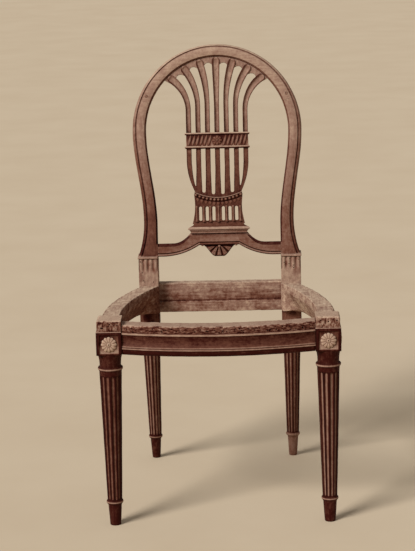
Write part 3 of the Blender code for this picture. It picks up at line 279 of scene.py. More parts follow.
PEG_RADIUS = 0.003
PEG_HOLE_RADIUS = PEG_RADIUS + CLEARANCE
FRONT_PEG_X = BLOCK_INNER_X + 0.011
FRONT_PEG_Z = 0.4082
FRONT_PEG_PAST_MIDDLE = 0.00125
SIDE_FRONT_PEG_Y = BLOCK_BACK_Y - 0.010
SIDE_FRONT_PEG_Z = 0.4135
SIDE_REAR_PEG_Y = POST_FRONT_Y + 0.009
SIDE_REAR_PEG_Z = 0.3865
SIDE_REAR_PEG_PAST_MIDDLE = 0.00875
REAR_PEG_X = POST_INNER_X + 0.010
REAR_PEG_Z = 0.38475
REAR_PEG_INNER_Y = 0.166
BOTTOM_PEG_X = POST_INNER_X + 0.009
BOTTOM_PEG_HEIGHT = 0.014
BOTTOM_PEG_FRONT = 0.00325
CREST_PEG_RUN = 0.013
CREST_PEG_FRONT = 0.0005
# Outer and inner end of the seat's pegs on the right.
PEG_ENDS = {
    "front_rail_peg": ((FRONT_PEG_X, BLOCK_FRONT_Y + STUB_INSET, FRONT_PEG_Z),
                       (FRONT_PEG_X, FRONT_LEG_Y + FRONT_PEG_PAST_MIDDLE, FRONT_PEG_Z)),
    "side_rail_front_peg": ((BLOCK_OUTER_X - STUB_INSET, SIDE_FRONT_PEG_Y, SIDE_FRONT_PEG_Z),
                            (FRONT_LEG_X - FRONT_PEG_PAST_MIDDLE, SIDE_FRONT_PEG_Y, SIDE_FRONT_PEG_Z)),
    "side_rail_rear_peg": ((POST_OUTER_X, SIDE_REAR_PEG_Y, SIDE_REAR_PEG_Z),
                           (REAR_LEG_X - SIDE_REAR_PEG_PAST_MIDDLE, SIDE_REAR_PEG_Y, SIDE_REAR_PEG_Z)),
    "rear_rail_peg": ((REAR_PEG_X, POST_BACK_Y, REAR_PEG_Z), (REAR_PEG_X, REAR_PEG_INNER_Y, REAR_PEG_Z)),
}
FRONT_PEGS = ("front_rail_peg", "side_rail_front_peg")
PAIRED_PEGS = ("side_rail_rear_peg", "rear_rail_peg")
PEG_PAIR = (("lower", -0.011), ("upper", 0.011))

# Camera, from the fit of the CAD model to the photo.
CAMERA_PLACE = Vector((0.0669, -4.12695, 1.3314))
CAMERA_YAW = -0.0219
CAMERA_PITCH = 0.2067
CAMERA_ROLL = 0.0247
CAMERA_LENS = 132.98
CAMERA_SENSOR = 36.0

SUN_DIRECTION = Vector((-0.55, -0.60, 0.62))
SUN_STRENGTH = 3.3
SUN_ANGLE = math.radians(22)
WORLD_COLOUR = (1.0, 0.97, 0.93, 1.0)
WORLD_STRENGTH = 0.32
FLOOR_HALF = 40.0

# Lightness of the wood, from 0 for its dark stain to 1 for pale bare wood.
ROSETTE_TONE = 0.86
PEG_TONE = 0.50
STUB_TOP_TONE = 0.86
RUBBED_RING_TONE = 0.66
LEDGE_TONE = 0.70
FRONT_RAIL_TOP_TONE = 0.77
FRONT_RAIL_INNER_TONE = 0.56
SIDE_RAIL_TOP_TONE = 0.88
REAR_RAIL_TOP_TONE = 0.85
TORN_RAIL_TONE = 0.27
HOOP_BACK_TONE = 0.30
# Hoop lighter towards the top: painted light from above.
HOOP_TONE_HEIGHTS = (0.48, 0.56, 0.62, 0.73, 0.92)
HOOP_TONES = (0.27, 0.35, 0.46, 0.66, 0.78)
# Splat lighter towards the top: painted light from above.
SPLAT_TONE_HEIGHTS = (BOWL_BOTTOM, BAND_BOTTOM, BAND_TOP, BAND_TOP + 0.07)
SPLAT_TONES = (0.16, 0.30, 0.48, 0.64)
# Painted light on the tops of the band's fillets and painted shadow under them.
BAND_LOWER_TONE = 0.82
BAND_UPPER_TONE = 0.88
BAND_SHADOW_TONE = -0.05
# Painted light on the swag's fillet.
SWAG_LINE_TONE = 0.62
CUP_TONE = 0.14
SPLAT_BASE_TONE = 0.26
BLOCK_EDGE_TONE = 0.74
BLOCK_ARRIS_TONE = -0.24
# Painted light on the right and lower walls of the sunk panels.
PANEL_RIGHT_TONE = 0.26
PANEL_LOW_TONE = 0.80
# Painted light and shade on the bottom rail, its pendant and its plinth.
BOTTOM_UNDERSIDE_TONE = -0.10
BOTTOM_HOLLOW_TONE = 0.04
PLINTH_FOOT_TONE = 0.52
PLINTH_FILLET_TONE = 0.54
PLINTH_EDGE_TONE = 0.76
PLINTH_TOP_TONE = 0.15
# Painted light and shade on the rails' mouldings: shaded base fillet, lit bead and fillets.
RAIL_BASE_TONE = -0.04
RAIL_BEAD_TONE = 0.68
RAIL_LINE_TONE = 0.58
RAIL_FILLET_TONE = 0.74
REAR_RAIL_STEP_TONE = 0.24

# Numbers that scatter the cells of the noise.
NOISE_PRIMES = np.array((73856093, 19349663, 83492791))
NOISE_FACTOR = 1274126177
NOISE_SEED_STEP = 7.13
# A direction that no peg or tack follows.
SKEW = (0.31, 0.77, 0.55)


def srgb(red, green, blue):
    """Linear colour with full alpha from sRGB levels of 0 to 255."""
    levels = np.array((red, green, blue)) / 255
    linear = np.where(levels > 0.04045, ((levels + 0.055) / 1.055) ** 2.4, levels / 12.92)
    return (*(float(value) for value in linear), 1.0)


def between(start, end, share):
    """Value at a share of the way from start to end."""
    return start + (end - start) * share


def within(values, low, high):
    """True where values lie between low and high."""
    return (values > low) & (values < high)


def smooth_step(share):
    """Eased share, level at 0 and at 1."""
    share = np.clip(share, 0.0, 1.0)
    return share * share * (3 - 2 * share)


def value_noise(points, scale, seed):
    """Smooth noise from -1 to 1 at each point; scale is cells per metre, one number or three."""
    place = np.asarray(points, float) * scale + seed * NOISE_SEED_STEP
    cell = np.floor(place).astype(np.int64)
    part = smooth_step(place - cell)
    total = np.zeros(len(place))
    for corner in itertools.product((0, 1), repeat=3):
        weight = np.prod(np.where(corner, part, 1 - part), axis=1)
        key = (cell + corner) @ NOISE_PRIMES
        key = ((key ^ (key >> 13)) * NOISE_FACTOR) & 0x7FFFFFFF
        total += weight * (((key >> 7) & 0xFFFF) / 32767.5 - 1)
    return total


def noise_vectors(points, scale, seed):
    """Three independent smooth noises at each point."""
    return np.stack([value_noise(points, scale, seed + axis) for axis in range(3)], axis=1)


def points_at(x, y, z):
    """Points from their coordinates, each of them one number or one for every point."""
    return np.stack(np.broadcast_arrays(x, y, z), axis=-1)


def moved(points, matrix):
    """Points moved by a matrix, in an array of any shape."""
    points = np.asarray(points, float)
    matrix = np.array(matrix)
    return (points.reshape(-1, 3) @ matrix[:3, :3].T + matrix[:3, 3]).reshape(points.shape)


def to_back(points):
    """World places of points given in the raked frame of the back: across, depth, height."""
    return moved(points, BACK_FRAME)


def from_back(points):
    """The back's own coordinates of world points."""
    return moved(points, BACK_FRAME.inverted())


def level_ring(outline, height):
    """Level ring in the world from (x, y) points."""
    return points_at(outline[:, 0], outline[:, 1], height)


def back_level_ring(section, height):
    """Ring at one height of the back from (across, depth) points."""
    across, depth = np.transpose(section)
    return to_back(points_at(across, depth, height))


def back_cross_ring(section, across):
    """Ring at one place across the back from (depth, height) points."""
    depth, height = np.transpose(section)
    return to_back(points_at(across, depth, height))


def arc(x, y, reach_x, reach_y, start, end, count):
    """Points along part of an ellipse."""
    turns = np.linspace(start, end, count)
    return [(x + reach_x * math.cos(turn), y + reach_y * math.sin(turn)) for turn in turns]


def crown(x, half, base, rise, count, power=1.0):
    """Round front of a carved strip, or a hollow if rise is negative, as (across, depth) points."""
    return [(x + half * math.cos(turn), base - rise * math.sin(turn) ** power)
            for turn in np.linspace(math.pi, 0, count)]


def store(mesh, name, kind, values):
    """Writes one attribute per vertex."""
    layer = mesh.attributes.new(name, kind, "POINT")
    key = "vector" if kind == "FLOAT_VECTOR" else "value"
    layer.data.foreach_set(key, np.asarray(values, np.float32).ravel())


def link(name, data):
    """New object in the scene."""
    item = bpy.data.objects.new(name, data)
    bpy.context.scene.collection.objects.link(item)
    return item


def skin(name, rings, shade=0.0):
    """Closed body through rings of equally many points; shade lightens or darkens its points."""
    rings = np.asarray(rings, float)
    count, around = rings.shape[:2]
    index = np.arange(count * around).reshape(count, around)
    turned = np.roll(index, -1, axis=1)
    quads = np.stack((index[:-1], turned[:-1], turned[1:], index[1:]), axis=-1)
    caps = [index[0][::-1].tolist(), index[-1].tolist()]
    mesh = bpy.data.meshes.new(name)
    mesh.from_pydata(rings.reshape(-1, 3).tolist(), [], quads.reshape(-1, 4).tolist() + caps)
    store(mesh, "shade", "FLOAT", np.broadcast_to(shade, (count, around)))
    editable = bmesh.new()
    editable.from_mesh(mesh)
    bmesh.ops.recalc_face_normals(editable, faces=editable.faces)
    editable.to_mesh(mesh)
    editable.free()
    return link(name, mesh)


def combine(base, operation, tools):
    """Joins the tools to the base, or cuts them from it, and removes them."""
    group = bpy.data.collections.new("tools")
    for tool in tools:
        group.objects.link(tool)
    modifier = base.modifiers.new("combine", "BOOLEAN")
    modifier.solver = "MANIFOLD"
    modifier.operation = operation
    modifier.operand_type = "COLLECTION"
    modifier.collection = group
    bpy.context.view_layer.update()
    shaped = bpy.data.meshes.new_from_object(base.evaluated_get(bpy.context.evaluated_depsgraph_get()))
    base.modifiers.clear()
    base.data = shaped
    for tool in tools:
        bpy.data.objects.remove(tool)
    bpy.data.collections.remove(group)
    return base


def plate(name, outline, front, back):
    """Flat body in the back's frame, from an outline of (across, height) points."""
    across, height = np.transpose(outline)
    return skin(name, [to_back(points_at(across, depth, height)) for depth in (front, back)])


def rounded_rectangle(half_x, half_y, radius, side_steps, corner_steps=4):
    """Outline of a rectangle with round corners, anticlockwise."""
    signs = np.array(((1, 1), (-1, 1), (-1, -1), (1, -1)))
    inset = np.array((half_x - radius, half_y - radius))

    def corner(quarter, angle):
        return signs[quarter % 4] * inset + radius * np.array((math.cos(angle), math.sin(angle)))

    points = []
    for quarter in range(4):
        for step in range(corner_steps + 1):
            points.append(corner(quarter, QUARTER * (quarter + step / corner_steps)))
        start = points[-1]
        end = corner(quarter + 1, QUARTER * (quarter + 1))
        for step in range(1, side_steps):
            points.append(start + (end - start) * step / side_steps)
    return np.array(points)


def back_ball(name, centre, radius, stretch=(1, 1, 1), rows=8, around=14):
    """Small closed ball on the back, for beads and buttons."""
    rings = []
    for row in range(rows + 1):
        angle = math.pi * (0.03 + 0.94 * row / rows)
        turns = np.arange(around) * FULL_TURN / around
        ring = points_at(math.sin(angle) * np.cos(turns), math.sin(angle) * np.sin(turns), math.cos(angle))
        rings.append(ring * radius * np.array(stretch) + np.array(centre))
    return skin(name, to_back(rings))


def unit_circle(along, turns):
    """Points at the given turns round a direction, at a distance of 1."""
    side = np.cross(along, SKEW)
    side /= np.linalg.norm(side)
    return np.outer(np.cos(turns), side) + np.outer(np.sin(turns), np.cross(along, side))


def tack_holes(places, inward, seed, radius, sides=7, depth=0.004):
    """Small tapered cutters at the given places, one way in for all of them."""
    inward = np.array(inward, float) / np.linalg.norm(inward)
    random = np.random.default_rng(seed)
    tools = []
    for place in places:
        wide = radius * random.uniform(0.6, 1.25)
        circle = unit_circle(inward, np.arange(sides) * FULL_TURN / sides + random.uniform(0, 1)) * wide
        levels = ((-0.002, 1.25), (0.0003, 1.0), (depth, 0.3))
        rings = [np.array(place) + circle * share + inward * run for run, share in levels]
        tools.append(skin("tack_hole", rings))
    return tools


def peg_hole(outer, inner, before=0.004, beyond=0.001, around=20):
    """Cutter for a peg's hole, open past its outer end."""
    outer = np.array(outer, float)
    inner = np.array(inner, float)
    along = (inner - outer) / np.linalg.norm(inner - outer)
    circle = unit_circle(along, np.arange(around) * FULL_TURN / around) * PEG_HOLE_RADIUS
    return skin("peg_hole", [outer - along * before + circle, inner + along * beyond + circle])


# Turned legs

Turning = namedtuple("Turning", "ankle_height foot ankle ring shaft_bottom shaft_top collar neck "
                                "neck_height flute block_bottom block_half")
FRONT_TURNING = Turning(ankle_height=0.0370, foot=0.0110, ankle=0.0133, ring=0.0171, shaft_bottom=0.0148,
                        shaft_top=0.0221, collar=0.0252, neck=0.0214, neck_height=0.0260, flute=0.0030,
                        block_bottom=FRONT_BLOCK_BOTTOM, block_half=FRONT_BLOCK_HALF)
REAR_TURNING = Turning(ankle_height=0.0420, foot=0.0090, ankle=0.0113, ring=0.0153, shaft_bottom=0.0134,
                       shaft_top=0.0190, collar=0.0207, neck=0.0174, neck_height=0.0100, flute=0.0024,
                       block_bottom=REAR_BLOCK_BOTTOM, block_half=REAR_BLOCK_HALF_WIDTH)


def bead_stations(low, high, low_radius, high_radius, out_radius, steps=10):
    """Heights and radii of a turned half-round."""
    stations = []
    for step in range(steps + 1):
        share = step / steps
        base = between(low_radius, high_radius, share)
        swell = math.sin(math.pi * share) ** 0.75
        height = between(low, high, 0.5 - 0.5 * math.cos(math.pi * share))
        stations.append((height, between(base, out_radius, swell)))
    return stations


def cove_stations(low, high, low_radius, high_radius, steps=7):
    """Heights and radii of a turned hollow that runs out towards its top."""
    stations = []
    for step in range(steps + 1):
        angle = QUARTER * step / steps
        radius = between(low_radius, high_radius, 1 - math.cos(angle))
        stations.append((between(low, high, math.sin(angle)), radius))
    return stations


def shaft_limits(turning):
    """Heights of the foot ring's top, the flutes' ends, and the collar's underside and top."""
    ring_top = turning.ankle_height + FOOT_RING_HEIGHT
    collar_top = turning.block_bottom - turning.neck_height
    collar_bottom = collar_top - COLLAR_HEIGHT
    return ring_top, ring_top + FLUTE_START, collar_bottom - PLAIN_SHAFT_HEIGHT, collar_bottom, collar_top


def foot_stations(turning, ring_top, steps=7):
    """Heights and radii of a leg's foot, its cove and its ring."""
    ankle = turning.ankle_height
    stations = [(0.0, turning.foot * 0.90), (0.0007, turning.foot * 0.97), (FOOT_EASE, turning.foot)]
    for share in np.linspace(0, 1, steps + 1)[1:]:
        stations.append((between(FOOT_EASE, ankle, share), between(turning.foot, turning.ankle, share)))
    stations += cove_stations(ankle + 0.0004, ankle + 0.0085, turning.ankle, turning.ring - 0.0014)
    stations += bead_stations(ankle + 0.0092, ring_top - 0.0006, turning.ring - 0.0013,
                              turning.shaft_bottom + 0.0003, turning.ring)
    return stations


def neck_stations(turning, flute_high, collar_bottom, collar_top):
    """Heights and radii of a leg above its flutes: collar and flared neck."""
    shaft = turning.shaft_top + 0.0002
    stations = [(flute_high + 0.0008, turning.shaft_top + 0.0001), (collar_bottom - 0.0004, shaft)]
    stations += cove_stations(collar_bottom, collar_bottom + 0.0050, shaft, turning.collar - 0.0014)
    stations += bead_stations(collar_bottom + 0.0057, collar_top - 0.0014, turning.collar - 0.0013,
                              turning.neck + 0.0014, turning.collar)
    stations += [(collar_top - 0.0004, turning.neck + 0.0012), (collar_top, turning.neck)]
    top_radius = turning.block_half - NECK_INSET
    for share in np.linspace(0.1, 1, 10):
        radius = between(turning.neck, top_radius, share ** NECK_FLARE_POWER)
        stations.append((collar_top + (turning.neck_height - 0.0008) * share, radius))
    stations.append((turning.block_bottom + 0.002, top_radius))
    return stations


def flute_stations(turning, low, high, end_steps=6, steps=40):
    """Height, radius and opening of the flutes along the tapered shaft, with round ends."""
    half_low = turning.shaft_bottom * FLUTE_HALF_ANGLE
    half_high = turning.shaft_top * FLUTE_HALF_ANGLE
    angles = [QUARTER * step / end_steps for step in range(end_steps + 1)]
    heights = [(low + half_low * (1 - math.cos(angle)), math.sin(angle)) for angle in angles]
    heights += [(between(low + half_low, high - half_high, step / steps), 1.0) for step in range(1, steps)]
    heights += [(high - half_high * (1 - math.cos(angle)), math.sin(angle)) for angle in reversed(angles)]
    stations = []
    for height, opening in heights:
        radius = between(turning.shaft_bottom, turning.shaft_top, (height - low) / (high - low))
        stations.append((height, radius, opening))
    return stations


def turning_stations(turning):
    """Height, radius and opening of the flutes at each station of a leg, from the floor up."""
    ring_top, flute_low, flute_high, collar_bottom, collar_top = shaft_limits(turning)
    stations = [(height, radius, 0.0) for height, radius in foot_stations(turning, ring_top)]
    stations += flute_stations(turning, flute_low, flute_high)
    neck = neck_stations(turning, flute_high, collar_bottom, collar_top)
    return stations + [(height, radius, 0.0) for height, radius in neck]


def turned_leg(name, turning, centre_at, dust_and_light):
    """Lathe body of a leg with carved flutes; dust and painted light lighten the flutes, most along their
    middles.
    """
    across = np.linspace(-1, 1, FLUTE_ACROSS)
    pitch = FULL_TURN / FLUTES
    rings = []
    shades = []
    for height, radius, opening in turning_stations(turning):
        half = FLUTE_HALF_ANGLE * max(opening, 0.06)
        depth = turning.flute * radius / turning.shaft_top * opening
        angles = []
        for flute in range(FLUTES):
            middle = math.pi / 4 + pitch * flute
            fillet = np.linspace(middle + half, middle + pitch - half, FILLET_ACROSS + 2)[1:-1]
            angles += [middle + half * across, fillet]
        angles = np.concatenate(angles)
        hollow = radius - depth * np.sqrt(1 - across ** 2)
        radii = np.tile(np.concatenate((hollow, np.full(FILLET_ACROSS, radius))), FLUTES)
        x, y = centre_at(height)
        rings.append(points_at(x + radii * np.cos(angles), y + radii * np.sin(angles), height))
        # Dust and painted light in each flute, brightest along its middle.
        flute_shade = dust_and_light * opening * (1 - across ** 2)
        shades.append(np.tile(np.concatenate((flute_shade, np.zeros(FILLET_ACROSS))), FLUTES))
    return skin(name, rings, shades)


def front_block(side):
    """Square block of a front leg, with its arrises eased."""
    levels = [(0.0, 0.0009), (0.0003, 0.0004)]
    levels += [(height, 0.0) for height in np.linspace(0.0009, FRONT_BLOCK_HEIGHT - 0.0016, 12)]
    levels += [(FRONT_BLOCK_HEIGHT - 0.0009, 0.0), (FRONT_BLOCK_HEIGHT - 0.0003, 0.0004),
               (FRONT_BLOCK_HEIGHT, 0.0010)]
    rings = []
    for height, inset in levels:
        half = FRONT_BLOCK_HALF - inset
        outline = rounded_rectangle(half, half, 0.0010, 6) + (side * FRONT_LEG_X, FRONT_LEG_Y)
        rings.append(level_ring(outline, FRONT_BLOCK_BOTTOM + height))
    return skin("front_block", rings)


def on_block(side, facing_front, across, rise, depth):
    """Points on the front or the outer side of a front block, placed from the middle of its panel."""
    if facing_front:
        return points_at(side * FRONT_LEG_X + across, BLOCK_FRONT_Y + depth, PANEL_Z + rise)
    return points_at(side * (BLOCK_OUTER_X - depth), FRONT_LEG_Y + across, PANEL_Z + rise)


def panel_cutter(side, facing_front):
    """Splayed cutter for the sunk panel on a block's front or outer side."""
    rings = []
    for depth, spread in ((-0.002, PANEL_SPLAY * 1.67), (0.0, PANEL_SPLAY), (PANEL_DEPTH, 0.0)):
        outline = rounded_rectangle(PANEL_HALF_WIDTH + spread, PANEL_HALF_HEIGHT + spread, 0.0006, 2, 2)
        rings.append(on_block(side, facing_front, outline[:, 0], outline[:, 1], depth))
    return skin("panel_cutter", rings)


def stub(side):
    """Raw end of a front leg above its block, chewed along its front and outer edges."""
    shift = (STUB_INSET - CLEARANCE) / 2
    half = FRONT_BLOCK_HALF - (STUB_INSET + CLEARANCE) / 2
    centre = np.array((side * (FRONT_LEG_X - shift), FRONT_LEG_Y + shift))
    inward = np.array((-side, 1)) / 2
    levels = [(height, 0.0) for height in np.linspace(FRONT_BLOCK_TOP - 0.002, SEAT_FRONT_TOP - 0.0034, 20)]
    for angle in np.linspace(0.2, 1, 6) * QUARTER:
        drop = STUB_EDGE * (1 - math.sin(angle))
        levels.append((SEAT_FRONT_TOP - drop, STUB_EDGE * (1 - math.cos(angle))))
    rings = []
    for height, inset in levels:
        outline = rounded_rectangle(half - inset / 2, half - inset / 2, 0.0016, 36)
        rings.append(level_ring(outline + centre + inward * inset, height))
    middle = rings[-1].mean(axis=0)
    rings += [middle + (rings[-1] - middle) * share for share in (0.9, 0.75, 0.6, 0.45, 0.3, 0.15)]
    rings = np.array(rings)
    wear = stub_wear(side, rings.reshape(-1, 3), centre, half)
    return skin("stub", rings + wear.reshape(rings.shape))


def stub_wear(side, points, centre, half):
    """Displacement of a raw leg end: rough on its front, outer side and top, smooth where rails meet it."""
    away = (points[:, :2] - centre) * np.array((side, -1)) / half
    height = points[:, 2]
    furthest = away.max(axis=1)
    front = smooth_step((furthest - 0.80) / 0.12)
    top = smooth_step((height - SEAT_FRONT_TOP + 0.0020) / 0.0018)
    top *= smooth_step((away.min(axis=1) + 0.98) / 0.1)
    above = height > FRONT_BLOCK_TOP + 0.0006
    rough = noise_vectors(points, 180, 3) * 0.0004 + noise_vectors(points, (700, 700, 260), 9) * 0.0003
    rough *= (np.maximum(front, top) * above)[:, None]
    bite = np.clip(value_noise(points, 210, 14), 0, 1) ** 1.4 * 0.0030
    rim = smooth_step((height - SEAT_FRONT_TOP + 0.0070) / 0.0060) * smooth_step((furthest - 0.70) / 0.2)
    rough[:, 2] -= bite * rim
    return rough


def stub_holes(side):
    """Tack holes on the raw end of a front leg."""
    random = np.random.default_rng(40 + side)
    reach = FRONT_BLOCK_HALF - STUB_INSET - 0.004
    front_y = BLOCK_FRONT_Y + STUB_INSET
    outer_x = BLOCK_OUTER_X - STUB_INSET

    def aside():
        return random.uniform(-reach, reach)

    def up():
        return random.uniform(FRONT_BLOCK_TOP + 0.004, SEAT_FRONT_TOP - 0.005)

    front = [(side * FRONT_LEG_X + aside(), front_y, up()) for _ in range(7)]
    outer = [(side * outer_x, FRONT_LEG_Y + aside(), up()) for _ in range(8)]
    top = [(side * FRONT_LEG_X + aside(), FRONT_LEG_Y + aside(), SEAT_FRONT_TOP) for _ in range(3)]
    return (tack_holes(front, (0, 1, 0), 41 + side, LARGE_TACK_RADIUS)
            + tack_holes(outer, (-side, 0, 0), 43 + side, LARGE_TACK_RADIUS)
            + tack_holes(top, (0, 0, -1), 45 + side, TACK_RADIUS))


def peg_ends(kind, side, rise=0.0):
    """Outer and inner end of a peg of the seat; rise sets the two of a pair apart."""
    return np.array(PEG_ENDS[kind]) * (side, 1, 1) + (0, 0, rise)


def bottom_peg_ends(side):
    """Outer and inner end of the peg through the bottom rail's tenon."""
    x = side * BOTTOM_PEG_X
    return to_back(((x, HOOP_THICKNESS, BOTTOM_PEG_HEIGHT), (x, BOTTOM_PEG_FRONT, BOTTOM_PEG_HEIGHT)))


def crest_peg_ends(side):
    """Back and front end of the peg through the joint of stile and crest."""
    x, z = arch_point(CREST_JOINT + CREST_PEG_RUN / HOOP_HALF, 0.5)
    return to_back(((side * x, HOOP_THICKNESS, z), (side * x, CREST_PEG_FRONT, z)))


def build_front_leg(side):
    """One front leg with its block, sunk panels and raw end."""
    dust_and_light = FRONT_FLUTE_DUST_AND_LIGHT + FRONT_FLUTE_DUST_AND_LIGHT_BY_SIDE * side
    leg = turned_leg("front_leg", FRONT_TURNING, lambda height: (side * FRONT_LEG_X, FRONT_LEG_Y), dust_and_light)
    combine(leg, "UNION", [front_block(side), stub(side)])
    cutters = [panel_cutter(side, True), panel_cutter(side, False)]
    cutters += [peg_hole(*peg_ends(kind, side)) for kind in FRONT_PEGS]
    return combine(leg, "DIFFERENCE", cutters + stub_holes(side))


# Hoop of the back

def hoop_outer(height):
    """Half width of the hoop's outer edge at a height below its spring."""
    height = np.asarray(height, float)
    below = np.clip((HOOP_WAIST_HEIGHT - height) / HOOP_WAIST_HEIGHT, 0, None)
    flare = (HOOP_FOOT_HALF - HOOP_WAIST_HALF) * below ** FOOT_FLARE_POWER
    share = (height - HOOP_WAIST_HEIGHT) / (HOOP_SPRING - HOOP_WAIST_HEIGHT)
    return between(HOOP_WAIST_HALF, HOOP_HALF, smooth_step(share)) + flare


def hoop_inner(height):
    """Half width of the hoop's inner edge at a height below its spring."""
    share = (np.asarray(height, float) - HOOP_INNER_WAIST_HEIGHT) / (HOOP_SPRING - HOOP_INNER_WAIST_HEIGHT)
    return between(HOOP_INNER_WAIST_HALF, HOOP_INNER_HALF, smooth_step(share))


def arch_point(angle, inward):
    """Across and height of a point of the arch; inward is 0 at its outer and 1 at its inner edge."""
    half = between(HOOP_HALF, HOOP_INNER_HALF, inward)
    rise = between(HOOP_RISE, HOOP_INNER_RISE, inward)
    return half * math.cos(angle), HOOP_SPRING + rise * math.sin(angle)


def hoop_strip(lift):
    """Width of the hoop's outer strip; lift is 0 on the stiles and 1 at the crown."""
    return between(HOOP_STRIP, HOOP_STRIP_AT_CROWN, lift)


def hoop_profile(width, lift, rebate):
    """Section of the hoop as (inward, depth) points, from its outer side over the front to the back."""
    strip = hoop_strip(lift)
    quirk = strip + HOOP_QUIRK
    face_start = quirk + 0.0024
    face_end = width - HOOP_INNER_EDGE
    side_depth = 0.014
    dish = 0.0012
    round_depth = HOOP_THICKNESS - HOOP_BACK_ROUND
    points = [(0.0, round_depth), (0.0, side_depth), (0.0, 0.0092)]
    for share in np.linspace(0, 1, 7):
        points.append((strip * share, 0.0080 - 0.0056 * math.sin(QUARTER * share) ** 0.9))
    points += [(strip + 0.0003, 0.0028), (quirk, 0.0040), (quirk + 0.0014, 0.0040),
               (face_start - 0.0003, 0.0020)]
    for share in np.linspace(0, 1, 9):
        points.append((between(face_start, face_end, share), dish * (2 * share - 1) ** 2))
    for inward, depth in ((0.0003, 0.0018), (0.0008, 0.0030), (0.0016, 0.0032), (0.0024, 0.0038),
                          (HOOP_INNER_EDGE, 0.0052)):
        points.append((face_end + inward, dish + depth * rebate))
    points.append((width, side_depth))
    points += arc(width - HOOP_BACK_ROUND, round_depth, HOOP_BACK_ROUND, HOOP_BACK_ROUND, 0, QUARTER, 5)
    points.append((width / 2, HOOP_THICKNESS))
    points += arc(HOOP_BACK_ROUND, round_depth, HOOP_BACK_ROUND, HOOP_BACK_ROUND, QUARTER, math.pi, 5)[:-1]
    return np.array(points)


def hoop_ring(outer, inner, lift=0.0, rebate=1.0):
    """One section of the hoop between an outer and an inner point, in the world."""
    outer = np.array(outer, float)
    inner = np.array(inner, float)
    width = np.linalg.norm(inner - outer)
    profile = hoop_profile(width, lift, rebate)
    flat = outer + np.outer(profile[:, 0], (inner - outer) / width)
    return to_back(points_at(flat[:, 0], profile[:, 1], flat[:, 1]))


def arch_ring(angle, side=1):
    """One section of the hoop above its spring."""
    outer = np.array(arch_point(angle, 0)) * (side, 1)
    inner = np.array(arch_point(angle, 1)) * (side, 1)
    return hoop_ring(outer, inner, math.sin(angle))


def stile(side):
    """Stile of the hoop from its foot to the joint with the crest; it is flush beside the bottom rail."""
    rings = []
    low = np.linspace(-0.002, HOOP_WAIST_HEIGHT, 27)
    for height in np.concatenate((low, np.linspace(HOOP_WAIST_HEIGHT + 0.004, HOOP_SPRING, 46))):
        rebate = float(height > BOTTOM_RAIL_END_HEIGHT - 0.002)
        outer = (side * hoop_outer(height), height)
        rings.append(hoop_ring(outer, (side * hoop_inner(height), height), 0.0, rebate))
    rings += [arch_ring(angle, side) for angle in np.linspace(0, CREST_JOINT, 20)[1:]]
    return skin("stile", rings)


def rear_block(side):
    """Block of a rear leg, with worn flutes on the front of its raw upper part."""
    outline = rounded_rectangle(REAR_BLOCK_HALF_WIDTH, REAR_BLOCK_HALF_DEPTH, 0.0010, 30)
    front = outline[:, 1] < -REAR_BLOCK_HALF_DEPTH + 0.0002
    wave = 0.5 + 0.5 * np.cos(FULL_TURN * BLOCK_FLUTES * (outline[:, 0] / (2 * REAR_BLOCK_HALF_WIDTH)))
    top = REAR_BLOCK_TOP - LEDGE_HEIGHT - REAR_BLOCK_BOTTOM
    rings = []
    shades = []
    for height in (0.0, 0.0004, 0.0011, *np.linspace(0.003, top, 96)):
        scale = 1 - max(0.0, 0.0010 - height) / REAR_BLOCK_HALF_WIDTH
        level = REAR_BLOCK_BOTTOM + height
        ring = level_ring(outline * scale, level)
        reach = smooth_step((level - BLOCK_FLUTE_BOTTOM) / BLOCK_FLUTE_RUN)
        ring[:, 1] += front * wave ** 1.6 * reach * BLOCK_FLUTE_DEPTH
        rings.append(ring)
        # Painted shade in the flute valleys.
        shades.append(BLOCK_FLUTE_SHADE * front * wave ** 2 * reach)
    rings = np.array(rings)
    points = rear_block_wear(rings.reshape(-1, 3)) + np.array((side * REAR_LEG_X, REAR_POST_Y, 0))
    stains = np.clip(value_noise(points, (120, 120, 70), 37 + side) - 0.1, 0, 1) * BLOCK_STAIN_SHADE
    shades = np.array(shades) + stains.reshape(rings.shape[:2])
    return skin("rear_block", points.reshape(rings.shape), shades)


def rear_block_wear(points):
    """Points of a rear block, given about its own middle, roughened where the wood is raw."""
    height = points[:, 2:3]
    raw = smooth_step((height - SEAT_REAR_TOP + 0.002) / 0.004)
    rough = noise_vectors(points, 170, 21) * 0.0003 + noise_vectors(points, 520, 27) * 0.00012
    torn = smooth_step((BLOCK_TEAR_TOP - height) / BLOCK_TEAR_RUN)
    torn = torn * (points[:, 1:2] < -REAR_BLOCK_HALF_DEPTH + 0.003)
    tear = np.abs(value_noise(points, (300, 300, 260), 33))[:, None] * np.array((0, BLOCK_TEAR_DEPTH, 0))
    return points + raw * (rough + torn * tear)


def rear_ledge(side):
    """Thin projecting ledge under the hoop's foot."""
    low = np.array((POST_INNER_X + 0.0004, POST_FRONT_Y - LEDGE_PROUD))
    high = np.array((POST_OUTER_X + LEDGE_PROUD, POST_BACK_Y))
    centre = (low + high) / 2
    half = (high - low) / 2
    bottom = REAR_BLOCK_TOP + 0.0008 - LEDGE_HEIGHT
    levels = ((0.0, 0.0022), (0.0009, 0.0004), (0.0014, 0.0), (LEDGE_HEIGHT - 0.0008, 0.0),
              (LEDGE_HEIGHT, 0.0008))
    rings = []
    for height, inset in levels:
        outline = rounded_rectangle(half[0] - inset, half[1] - inset, 0.0008, 8) + centre
        rings.append(level_ring(outline * (side, 1), bottom + height))
    return skin("rear_ledge", rings)


def rear_leg_centre(side):
    """Middle of a raked rear leg at a height."""
    def centre(height):
        below = 1 - min(height, REAR_BLOCK_BOTTOM) / REAR_BLOCK_BOTTOM
        return side * REAR_LEG_X, REAR_POST_Y + REAR_LEG_RAKE * below
    return centre


